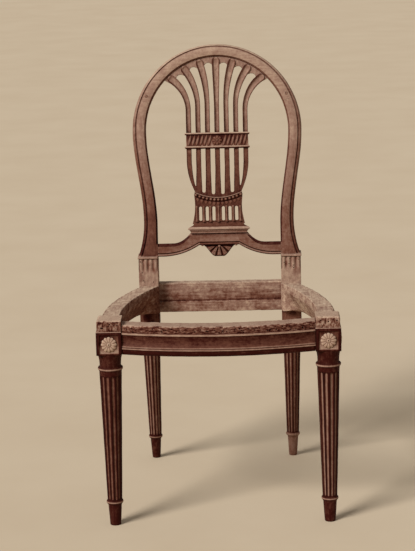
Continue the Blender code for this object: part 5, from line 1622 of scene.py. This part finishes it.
def build_peg(ends, seed, through, around=24):
    """Whittled peg with a trimmed, slightly domed end, or two of them if it goes through."""
    outer, inner = np.array(ends, float)
    length = np.linalg.norm(inner - outer)
    along = (inner - outer) / length
    random = np.random.default_rng(seed)
    turns = np.arange(around) * FULL_TURN / around
    facets = 1 - 0.035 * np.abs(np.sin(turns * 4 + random.uniform(0, 3))) - 0.02 * random.random(around)
    circle = unit_circle(along, turns) * facets[:, None] * PEG_RADIUS
    dome = [(-0.00035, 0.25), (-0.0003, 0.6), (-0.0001, 0.88), (0.0004, 1.0)]
    levels = dome + [(length / 2, 1.0)]
    if through:
        levels += [(length - run, share) for run, share in reversed(dome)]
    else:
        levels += [(length - 0.001, 1.0), (length, 0.8)]
    return skin("peg", [outer + along * run + circle * share for run, share in levels])


# Materials

class Shader:
    """Short ways to add and join the nodes of one material."""

    def __init__(self, name):
        self.material = bpy.data.materials.new(name)
        self.material.use_nodes = True
        self.nodes = self.material.node_tree.nodes
        self.links = self.material.node_tree.links
        self.surface = self.nodes["Principled BSDF"].inputs

    def set(self, socket, value):
        if isinstance(value, bpy.types.NodeSocket):
            self.links.new(value, socket)
        else:
            socket.default_value = value

    def node(self, kind, inputs):
        node = self.nodes.new("ShaderNode" + kind)
        for key, value in inputs.items():
            self.set(node.inputs[key], value)
        return node

    def attribute(self, name, output):
        node = self.node("Attribute", {})
        node.attribute_name = name
        return node.outputs[output]

    def scaled(self, vector, scale):
        return self.node("Mapping", {"Vector": vector, "Scale": scale}).outputs["Vector"]

    def noise(self, vector, scale, detail, rough=0.6, bend=0.0):
        inputs = {"Vector": vector, "Scale": scale, "Detail": detail, "Roughness": rough,
                  "Distortion": bend}
        return self.node("TexNoise", inputs).outputs["Fac"]

    def math(self, operation, first, second, clamp=False):
        node = self.node("Math", {0: first, 1: second})
        node.operation = operation
        node.use_clamp = clamp
        return node.outputs[0]

    def sum(self, first, *others):
        for other in others:
            first = self.math("ADD", first, other)
        return first

    def times(self, first, second):
        return self.math("MULTIPLY", first, second)

    def ramp(self, value, low, high, out_low=0.0, out_high=1.0):
        inputs = {"Value": value, "From Min": low, "From Max": high, "To Min": out_low, "To Max": out_high}
        node = self.node("MapRange", inputs)
        node.interpolation_type = "SMOOTHSTEP"
        return node.outputs["Result"]

    def mix(self, share, first, second):
        node = self.node("Mix", {})
        node.data_type = "RGBA"
        for key, value in ((0, share), (6, first), (7, second)):
            self.set(node.inputs[key], value)
        return node.outputs[2]

    def colours(self, level):
        span = self.node("MapRange", {"Value": level, "From Min": LOWEST_TONE, "From Max": HIGHEST_TONE})
        node = self.node("ValToRGB", {"Fac": span.outputs["Result"]})
        stops = node.color_ramp.elements
        for tone, _ in WOOD_COLOURS[1:-1]:
            stops.new((tone - LOWEST_TONE) / (HIGHEST_TONE - LOWEST_TONE))
        for stop, (_, colour) in zip(stops, WOOD_COLOURS):
            stop.color = colour
        return node.outputs["Color"]

    def hollows(self, distance, inside):
        node = self.node("AmbientOcclusion", {"Distance": distance})
        node.samples = 8
        node.inside = inside
        node.only_local = True
        return self.math("SUBTRACT", 1.0, node.outputs["AO"])

    def eased_normal(self, radius):
        node = self.node("Bevel", {"Radius": radius})
        node.samples = 4
        return node.outputs["Normal"]

    def bump(self, height, distance, strength, normal):
        inputs = {"Strength": strength, "Distance": distance, "Height": height, "Normal": normal}
        return self.node("Bump", inputs).outputs["Normal"]


# Colours of the wood from its darkest to its palest tone.
LOWEST_TONE = -0.40
HIGHEST_TONE = 1.20
WOOD_COLOURS = ((LOWEST_TONE, srgb(26, 6, 4)), (0.0, srgb(54, 15, 9)), (0.33, srgb(104, 65, 50)),
                (0.66, srgb(143, 111, 95)), (1.0, srgb(186, 159, 135)), (HIGHEST_TONE, srgb(206, 183, 158)))

Wood = namedtuple("Wood", "wear grain blotches rough")
STAINED = Wood(wear=0.15, grain=0.75, blotches=0.75, rough=0.50)
BARE = Wood(wear=0.08, grain=1.3, blotches=1.6, rough=0.55)
CARVED = Wood(wear=0.42, grain=0.6, blotches=0.7, rough=0.52)
PEG = Wood(wear=0.20, grain=0.6, blotches=0.6, rough=0.55)


def wood_material(name, wood):
    """Wood with painted shade darkening its hollows, rubbed on its edges, and raw or torn where marked."""
    shader = Shader(name)
    grain = shader.attribute("grain", "Vector")
    tone = shader.attribute("tone", "Fac")
    raw = shader.attribute("raw", "Fac")
    fibre = shader.noise(shader.scaled(grain, (300, 300, 14)), 1.0, 4.0, bend=0.3)
    fine = shader.noise(shader.scaled(grain, (1500, 1500, 70)), 1.0, 3.0)
    shred = shader.noise(shader.scaled(grain, (330, 330, 110)), 1.0, 3.0, bend=0.4)
    blotch = shader.noise(grain, 42.0, 4.0)
    mottle = shader.noise(grain, 150.0, 3.0)
    speck = shader.noise(grain, 420.0, 3.0, 0.65)
    level = tone
    for texture, amount in ((fibre, 0.50 * wood.grain), (blotch, 0.46 * wood.blotches),
                            (mottle, 0.50 * wood.blotches), (fine, 0.20), (speck, 0.24)):
        level = shader.sum(level, shader.times(shader.math("SUBTRACT", texture, 0.5), amount))
    edge = shader.ramp(shader.hollows(0.0022, True), 0.22, 0.62, 0.0, wood.wear)
    edge = shader.times(edge, shader.ramp(speck, 0.32, 0.58))
    # Painted shade: ambient occlusion darkens the colour in hollows, creases and between parts.
    painted_hollow_shade = shader.ramp(shader.hollows(0.008, False), 0.26, 0.86, 0.0, -0.62)
    torn = shader.math("SUBTRACT", raw, 1.0, True)
    tear = shader.times(shader.math("SUBTRACT", shred, 0.52), 2.1)
    level = shader.sum(level, edge, painted_hollow_shade, shader.times(torn, tear))
    shader.set(shader.surface["Base Color"], shader.colours(level))
    raw = shader.math("MINIMUM", raw, 1.0)
    gloss = shader.sum(shader.times(fine, 0.20), shader.times(raw, 0.30))
    shader.set(shader.surface["Roughness"], shader.math("ADD", gloss, wood.rough, True))
    shader.set(shader.surface["Specular IOR Level"], 0.06)
    height = shader.sum(shader.times(fibre, 0.7), shader.times(fine, 0.5),
                        shader.times(shader.times(shred, raw), 1.2))
    shader.set(shader.surface["Normal"], shader.bump(height, 0.0006, 0.55, shader.eased_normal(0.0005)))
    return shader.material


def floor_material():
    """Pale, faintly uneven studio floor."""
    shader = Shader("studio_floor")
    place = shader.node("TexCoord", {}).outputs["Object"]
    cloud = shader.noise(place, 3.0, 4.0, 0.55)
    shader.set(shader.surface["Base Color"], shader.mix(cloud, srgb(196, 176, 149), srgb(208, 190, 164)))
    shader.set(shader.surface["Roughness"], 0.9)
    shader.set(shader.surface["Specular IOR Level"], 0.1)
    return shader.material


# Dressing of the pieces

GRAIN_ORDER = {"x": (1, 2, 0), "y": (0, 2, 1), "z": (0, 1, 2)}
GRAIN_SHIFT = np.array((0.37, 0.91, 0.53))
SHARP_ANGLE = math.radians(38)


def age(points, seed):
    """Slight waviness of hand work and wear."""
    waves = noise_vectors(points, 45, seed) * 0.00022
    return points + waves + noise_vectors(points, 260, seed + 4) * 0.00008


def dress(piece, node, material, grain_axis, tone, raw, seed):
    """Gives a piece its attributes, surface and place in the model."""
    mesh = piece.data
    points = np.empty(len(mesh.vertices) * 3)
    mesh.vertices.foreach_get("co", points)
    points = points.reshape(-1, 3)
    shade = np.empty(len(points))
    mesh.attributes["shade"].data.foreach_get("value", shade)
    store(mesh, "grain", "FLOAT_VECTOR", points[:, GRAIN_ORDER[grain_axis]] + GRAIN_SHIFT * (seed + 1))
    store(mesh, "tone", "FLOAT", tone(points) + shade)
    store(mesh, "raw", "FLOAT", np.broadcast_to(raw(points), len(points)))
    mesh.vertices.foreach_set("co", age(points, seed).ravel())
    mesh.update()
    mesh.shade_smooth()
    mesh.set_sharp_from_angle(angle=SHARP_ANGLE)
    mesh.materials.clear()
    mesh.materials.append(material)
    piece.name = node + "_wood"
    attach(piece, "root")
    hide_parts(node)


def painted(level, *coats):
    """Lightness under coats of (where, lightness), the last one on top."""
    for where, coat in coats:
        level = np.where(where, coat, level)
    return level


def hoop_place(points):
    """Distance in from the hoop's outer edge, width there, depth behind its front, lift to the crown."""
    across, depth, height = from_back(points).T
    across = np.abs(across)
    rise = height - HOOP_SPRING
    low = np.full(len(points), -0.2)
    high = np.full(len(points), 1.2)
    for _ in range(20):
        share = (low + high) / 2
        half = between(HOOP_HALF, HOOP_INNER_HALF, share)
        top = between(HOOP_RISE, HOOP_INNER_RISE, share)
        outside = (across / half) ** 2 + (rise / top) ** 2 > 1
        high = np.where(outside, share, high)
        low = np.where(outside, low, share)
    arch_width = np.hypot((HOOP_HALF - HOOP_INNER_HALF) * across / half,
                          (HOOP_RISE - HOOP_INNER_RISE) * rise / top)
    outer = hoop_outer(np.minimum(height, HOOP_SPRING))
    inner = hoop_inner(np.minimum(height, HOOP_SPRING))
    width = np.where(rise > 0, arch_width, outer - inner)
    inward = np.where(rise > 0, arch_width * share, outer - across)
    return inward, width, depth, np.clip(rise / top, 0, 1)


def hoop_tone(points):
    """Lightness of the hoop, with painted light and shade: lighter towards the top and darker at the feet,
    outer strip shaded on the stiles and pale over the crown, painted shade in the quirk and on the inner
    edge.
    """
    inward, width, depth, lift = hoop_place(points)
    x, _, z = points.T
    # Lighter towards the top: painted light from above.
    tone = np.interp(z, HOOP_TONE_HEIGHTS, HOOP_TONES)
    tone += np.sign(x) * np.interp(z, (0.56, 0.70), (0.07, 0.0))
    strip = inward < hoop_strip(lift) + 0.0001
    quirk = ~strip & (inward < hoop_strip(lift) + HOOP_QUIRK + 0.0016)
    edge = (inward > width - HOOP_INNER_EDGE + 0.0002) & (from_back(points)[:, 2] > BOTTOM_RAIL_END_HEIGHT)
    # Painted shade on the outer strip of the stiles, reaching higher on the right, fading to pale over the
    # crown.
    left_strip = np.interp(lift, (0.05, 0.65), (-0.18, 0.10))
    right_strip = np.interp(lift, (0.3, 0.75), (-0.14, 0.08))
    tone += np.where(strip, np.where(x > 0, right_strip, left_strip), 0.0)
    # Painted shade in the quirk and along the inner edge.
    tone -= 0.22 * quirk
    tone -= 0.40 * edge
    return np.where(depth > 0.0098, np.minimum(tone, HOOP_BACK_TONE), tone)


def splat_tone(points):
    """Lightness of the splat: dark bowl and light fan, lighter towards the top as painted light from above,
    with painted light and shade on the band and the swag.
    """
    across, depth, height = from_back(points).T
    in_band = within(height, BAND_BOTTOM - 0.0004, BAND_TOP + 0.0004) & (depth < BAND_FRONT + 0.0012)
    return painted(np.interp(height, SPLAT_TONE_HEIGHTS, SPLAT_TONES),
                   (in_band, band_tone(depth, height)),
                   (height < BOWL_BOTTOM + 0.004, colonnade_tone(across, depth, height)))


def band_tone(depth, height):
    """Lightness of the band, with painted light and shade: each fillet lit on top with painted shadow
    below, light crowns on the leaves over a darker ground.
    """
    relief = np.clip((BAND_FRONT + 0.0006 - depth) / 0.0024, 0, 1)
    lower = height - BAND_BOTTOM
    upper = height - BAND_TOP + BAND_FILLET
    # Raised carving lighter and its ground darker: painted light and shade.
    return painted(0.04 + 0.46 * relief ** 1.5,
                   (lower < BAND_FILLET, np.where(lower > 0.0021, BAND_LOWER_TONE, BAND_SHADOW_TONE)),
                   (upper > 0, np.where(upper > 0.0021, BAND_UPPER_TONE, BAND_SHADOW_TONE)))


def colonnade_tone(across, depth, height):
    """Lightness below the bowl, with painted light and shade: pale line along the swag, lit crowns on beads
    and columns over darker hollows, dark cup and base.
    """
    rise = height - collar_height(across)
    relief = np.clip((COLUMN_BASE - depth) / 0.0034, 0, 1)
    beads = np.clip((0.0034 - depth) / 0.0034, 0, 1)
    # Raised crowns lighter and hollows darker: painted light and shade.
    return painted(0.08 + 0.38 * relief ** 1.3,
                   (within(rise, -0.0060, 0.0019), 0.04 + 0.50 * beads ** 1.5),
                   (within(rise, 0.0019, 0.0046) & (depth < 0.0034), SWAG_LINE_TONE),
                   (rise > 0.0046, CUP_TONE),
                   (height < BASE_TOP + 0.0002, SPLAT_BASE_TONE))


def leg_tone(turning, plain, shaft):
    """Lightness of a turned leg: its plain parts, its shaft between the flutes, and its rubbed rings."""
    ring_top, flute_low, flute_high, _, collar_top = shaft_limits(turning)

    def tone(points):
        z = points[:, 2]
        rubbed = (np.abs(z - ring_top + 0.0034) < 0.0015) | (np.abs(z - collar_top + 0.0042) < 0.0015)
        fluted = within(z, flute_low - 0.0002, flute_high + 0.0002)
        return painted(plain, (fluted, shaft), (rubbed, RUBBED_RING_TONE))
    return tone


def front_leg_tone(side):
    """Lightness of a front leg, its block with the sunk panels, and its raw end."""
    turned = leg_tone(FRONT_TURNING, plain=0.02, shaft=-0.18)

    def tone(points):
        z = points[:, 2]
        torn = 0.42 + 0.09 * side + 0.34 * value_noise(points, (240, 240, 170), 17)
        torn += 0.20 * value_noise(points, 420, 19)
        pale = STUB_PALE_BOTTOM + 0.0016 * value_noise(points, (170, 170, 0), 23)
        return painted(turned(points),
                       (z > FRONT_BLOCK_BOTTOM - 0.0004, panel_tone(side, points)),
                       (z > FRONT_BLOCK_TOP - 0.0010, BLOCK_EDGE_TONE),
                       (z > FRONT_BLOCK_TOP - 0.0001, torn),
                       (z > pale, STUB_TOP_TONE))
    return tone


def panel_tone(side, points):
    """Lightness of a front block: dark, with painted light low and on the right in its sunk panels."""
    x, y, z = points.T
    front = y - BLOCK_FRONT_Y
    outer = BLOCK_OUTER_X - side * x
    depth = np.minimum(front, outer)
    across = np.where(front < outer, x - side * FRONT_LEG_X, side * (y - FRONT_LEG_Y))
    rise = z - PANEL_Z
    inside = np.maximum(np.abs(across) - PANEL_HALF_WIDTH, np.abs(rise) - PANEL_HALF_HEIGHT) < PANEL_SPLAY
    # Painted light on the right and lower walls of the sunk panel.
    sunk = painted(0.0,
                   (across > PANEL_HALF_WIDTH - 0.0008, PANEL_RIGHT_TONE),
                   (rise < -PANEL_HALF_HEIGHT + 0.0008, PANEL_LOW_TONE))
    return painted(0.0,
                   (np.abs(across) > FRONT_BLOCK_HALF - 0.0015, BLOCK_ARRIS_TONE),
                   (inside & within(depth, 0.0005, PANEL_DEPTH + 0.0005), sunk))


def rear_leg_tone(side):
    """Lightness of a rear leg, its raw block and its stile."""
    turned = leg_tone(REAR_TURNING, plain=0.26 + 0.22 * side, shaft=-0.06)

    def tone(points):
        z = points[:, 2]
        return painted(turned(points),
                       (z > REAR_BLOCK_BOTTOM - 0.0004, 0.24 + 0.08 * side),
                       (z > RAW_BLOCK_BOTTOM, 0.76 + 0.03 * side),
                       (z > REAR_BLOCK_TOP - LEDGE_HEIGHT + 0.0006, LEDGE_TONE),
                       (z > REAR_BLOCK_TOP + 0.0009, hoop_tone(points)))
    return tone


def bottom_rail_tone(points):
    """Lightness of the bottom rail, with painted light and shade: lit bead and plinth, painted shade in the
    hollow along its upper edge and under its lower edge.
    """
    across, depth, height = from_back(points).T
    above = height - bottom_rail_arch(across)
    below = bottom_rail_top(across) - height
    rise = height - (PLINTH_TOP - PLINTH_HEIGHT)
    root = np.abs(across) < ARCH_END - 0.001
    carved = np.clip((BOTTOM_RAIL_FRONT + 0.0058 - depth) / 0.0046, 0, 1)
    # Painted light and shade: shade at the leaf's root, under the lower edge and in the upper hollow, light
    # on the bead, the leaf's crowns and the plinth's lips, and the plinth's underside lightened against its
    # shadow.
    return painted(0.38 + 0.12 * np.where(root, np.exp(-((above - 0.013) / 0.005) ** 2), 0),
                   (within(above, -0.0002, 0.0066) & (depth < 0.0040), np.where(root, 0.20, 0.22)),
                   (within(above, 0.0020, 0.0052) & (depth < 0.0030), np.where(root, 0.24, 0.54)),
                   (within(above, -0.0002, 0.0016), BOTTOM_UNDERSIDE_TONE),
                   ((below < BOTTOM_HOLLOW_DROP) & (depth > 0.0013), BOTTOM_HOLLOW_TONE),
                   (above < -0.0002, -0.08 + 0.62 * carved ** 1.5),
                   (np.abs(rise + 0.0020) < 0.0047, PLINTH_FOOT_TONE),
                   (rise > 0.0027, PLINTH_FILLET_TONE),
                   (rise > 0.0056, PLINTH_EDGE_TONE),
                   (rise > 0.0112, PLINTH_TOP_TONE))


def rail_tone(depth, height, top, torn, crown_level, inner):
    """Lightness of a front or side rail from its section, its top's level and its inner face's, with
    painted light and shade on its mouldings.
    """
    fall = np.clip((HOLLOW_TOP - height) / (HOLLOW_TOP - BEAD_TOP), 0, 1)
    # Painted shade in the hollow, darkest under the upper fillet, and on the base fillet; painted light on
    # the bead and the fillets.
    return painted(0.04 + 0.16 * fall,
                   (height < BASE_FILLET_TOP + 0.0002, RAIL_BASE_TONE),
                   (within(height, BASE_FILLET_TOP + 0.0008, BASE_FILLET_TOP + 0.0036), RAIL_BEAD_TONE),
                   (within(height, BEAD_TOP - 0.0018, BEAD_TOP + 0.0001), RAIL_LINE_TONE),
                   (within(height, HOLLOW_TOP + 0.0002, UPPER_FILLET_TOP - 0.0004), RAIL_FILLET_TONE),
                   (torn, TORN_RAIL_TONE),
                   (~torn & (height > top - 0.0046), crown_level),
                   ((depth > TOP_EDGE_DEPTH + 0.0040) & (height < top - 0.0009), inner))


def rail_torn(depth, height, top, points, along):
    """True where a rail is torn by tacks: its edge above the moulding, with a ragged upper border."""
    axis = np.eye(3)[along]
    wander = 0.0028 * value_noise(points, 80.0 * axis, 5) + 0.0018 * value_noise(points, 300.0 * axis, 6)
    return within(height, UPPER_FILLET_TOP, top - 0.0008 + wander) & (depth < TOP_EDGE_DEPTH + wander)


def rail_raw(depth, height, torn):
    """Raw share of a rail from its section: 0 on the moulded face, 2 where it is torn by tacks."""
    moulded = (depth < RAIL_TOE + 0.0004) & (height < UPPER_FILLET_TOP + 0.0002)
    return painted(1.0, (torn, 2.0), (moulded, 0.0))


def front_rail_place(points):
    """Depth behind the front rail's face, height above its underside, and whether it is torn."""
    depth = points[:, 1] - front_rail_face(points[:, 0])
    height = points[:, 2] - FRONT_RAIL_BOTTOM
    return depth, height, rail_torn(depth, height, FRONT_RAIL_HEIGHT, points, 0)


def front_rail_tone(points):
    """Lightness of the front rail."""
    depth, height, torn = front_rail_place(points)
    return rail_tone(depth, height, FRONT_RAIL_HEIGHT, torn, FRONT_RAIL_TOP_TONE, FRONT_RAIL_INNER_TONE)


def front_rail_raw(points):
    """Raw share of the front rail."""
    return rail_raw(*front_rail_place(points))


def side_rail_place(points):
    """Depth behind a side rail's face, height above its underside, and whether it is torn."""
    y = points[:, 1]
    depth = (side_rail_face(y) - np.abs(points[:, 0])) / np.hypot(1, side_rail_slope(y))
    height = points[:, 2] - side_rail_bottom(y)
    return depth, height, rail_torn(depth, height, side_rail_top(y) - side_rail_bottom(y), points, 1)


def side_rail_tone(side):
    """Lightness of a side rail; the left one's inner face carries painted shade."""
    def tone(points):
        depth, height, torn = side_rail_place(points)
        top = side_rail_top(points[:, 1]) - side_rail_bottom(points[:, 1])
        # Painted shade on the left rail's inner face.
        inner = 0.50 + 0.22 * side + 0.16 * value_noise(points, 70, 53)
        inner += (1 - side) * 0.07 * smooth_step((height - top + 0.034) / 0.030)
        return rail_tone(depth, height, top, torn, SIDE_RAIL_TOP_TONE, inner)
    return tone


def side_rail_raw(points):
    """Raw share of a side rail."""
    return rail_raw(*side_rail_place(points))


def rear_rail_tone(points):
    """Lightness of the rear rail: pale top, inner face that darkens in streaks down to its step."""
    z = points[:, 2]
    fall = smooth_step((SEAT_REAR_TOP - z) / (SEAT_REAR_TOP - REAR_RAIL_STEP_TOP))
    streak = value_noise(points, (26, 0, 240), 41) + 0.6 * value_noise(points, (60, 0, 520), 43)
    return painted(0.68 - 0.26 * fall + (0.08 + 0.18 * fall) * streak,
                   (z < REAR_RAIL_STEP_TOP + 0.0002, 0.58 + 0.10 * streak),
                   (np.abs(z - REAR_RAIL_STEP_TOP - 0.0020) < 0.0020, REAR_RAIL_STEP_TONE),
                   (z > SEAT_REAR_TOP - 0.0014, REAR_RAIL_TOP_TONE))


def even(level):
    """Same level at every point."""
    return lambda points: np.full(len(points), level)


def rear_block_raw(points):
    """Raw part of a rear block, between the seat and the ledge, with its back left stained."""
    z = points[:, 2]
    share = smooth_step((z - RAW_BLOCK_BOTTOM) / 0.004) * (z < REAR_BLOCK_TOP - LEDGE_HEIGHT)
    return share * (points[:, 1] < POST_BACK_Y - 0.002)


def front_leg_raw(points):
    """Raw and torn end of a front leg."""
    z = points[:, 2]
    return painted(0.0, (z > FRONT_BLOCK_TOP - 0.0002, 1.9), (z > STUB_PALE_BOTTOM, 1.0))


def rear_rail_raw(points):
    """All of the rear rail but its back."""
    return np.where(points[:, 1] > POST_BACK_Y - 0.0012, 0.0, 1.0)


def dress_frame(stained, bare):
    """Legs, back and seat rails."""
    for index, (label, side) in enumerate(SIDES):
        dress(build_front_leg(side), "front_leg_" + label, stained, "z",
              front_leg_tone(side), front_leg_raw, 1 + index)
        dress(build_rear_leg(side), "rear_leg_" + label, stained, "z",
              rear_leg_tone(side), rear_block_raw, 3 + index)
        dress(build_side_rail(side), "side_seat_rail_" + label, bare, "y",
              side_rail_tone(side), side_rail_raw, 5 + index)
    dress(build_crest(), "crest_rail", stained, "x", hoop_tone, even(0.0), 7)
    dress(build_bottom_rail(), "back_bottom_rail", stained, "x",
          bottom_rail_tone, even(0.0), 8)
    dress(build_splat(), "splat", stained, "z", splat_tone, even(0.0), 9)
    dress(build_front_rail(), "front_seat_rail", stained, "x",
          front_rail_tone, front_rail_raw, 10)
    dress(build_rear_rail(), "rear_seat_rail", bare, "x", rear_rail_tone, rear_rail_raw, 11)


def dress_small(carved, peg):
    """Rosettes and pegs."""
    pegs = []
    for index, (label, side) in enumerate(SIDES):
        dress(build_rosette(side, True), "front_rosette_" + label, carved, "z",
              even(ROSETTE_TONE), even(0.0), 12 + index)
        dress(build_rosette(side, False), "side_rosette_" + label, carved, "z",
              even(ROSETTE_TONE), even(0.0), 14 + index)
        pegs += [(f"{kind}_{label}", peg_ends(kind, side)) for kind in FRONT_PEGS]
        pegs.append(("bottom_rail_peg_" + label, bottom_peg_ends(side)))
        pegs.append(("crest_peg_" + label, crest_peg_ends(side)))
        for level, rise in PEG_PAIR:
            pegs += [(f"{kind}_{label}_{level}", peg_ends(kind, side, rise)) for kind in PAIRED_PEGS]
    for number, (node, ends) in enumerate(pegs):
        shape = build_peg(ends, number, through=node.startswith("crest"))
        dress(shape, node, peg, "y", even(PEG_TONE), even(0.0), 20 + number)


# Stage

def add_camera():
    """Camera of the photo."""
    right = Vector((math.cos(CAMERA_YAW), -math.sin(CAMERA_YAW), 0))
    level = Vector((math.sin(CAMERA_YAW), math.cos(CAMERA_YAW), 0))
    vertical = Vector((0, 0, 1))
    forward = level * math.cos(CAMERA_PITCH) - vertical * math.sin(CAMERA_PITCH)
    up = level * math.sin(CAMERA_PITCH) + vertical * math.cos(CAMERA_PITCH)
    rolled_right = right * math.cos(CAMERA_ROLL) - up * math.sin(CAMERA_ROLL)
    rolled_up = up * math.cos(CAMERA_ROLL) + right * math.sin(CAMERA_ROLL)
    data = bpy.data.cameras.new("camera")
    data.lens = CAMERA_LENS
    data.sensor_width = CAMERA_SENSOR
    camera = link("camera", data)
    turn = Matrix((rolled_right, rolled_up, -forward)).transposed()
    camera.matrix_world = Matrix.Translation(CAMERA_PLACE) @ turn.to_4x4()
    bpy.context.scene.camera = camera


def add_light():
    """Soft key light from the upper left, and an even studio light all round."""
    data = bpy.data.lights.new("key", "SUN")
    data.energy = SUN_STRENGTH
    data.angle = SUN_ANGLE
    link("key", data).rotation_euler = SUN_DIRECTION.to_track_quat("Z", "Y").to_euler()
    world = bpy.data.worlds.new("studio")
    world.use_nodes = True
    background = world.node_tree.nodes["Background"]
    background.inputs["Color"].default_value = WORLD_COLOUR
    background.inputs["Strength"].default_value = WORLD_STRENGTH
    bpy.context.scene.world = world


def add_floor():
    """Large floor under the chair."""
    corners = [(x * FLOOR_HALF, y * FLOOR_HALF, 0.0) for x, y in ((-1, -1), (1, -1), (1, 1), (-1, 1))]
    mesh = bpy.data.meshes.new("floor")
    mesh.from_pydata(corners, [], [(0, 1, 2, 3)])
    mesh.materials.append(floor_material())
    floor = link("floor", mesh)


def main():
    """Builds the stage and every piece."""
    add_camera()
    add_light()
    add_floor()
    stained = wood_material("stained_wood", STAINED)
    bare = wood_material("bare_wood", BARE)
    dress_frame(stained, bare)
    dress_small(wood_material("carved_wood", CARVED), wood_material("peg_wood", PEG))
    bpy.context.scene.view_settings.view_transform = "Standard"


main()
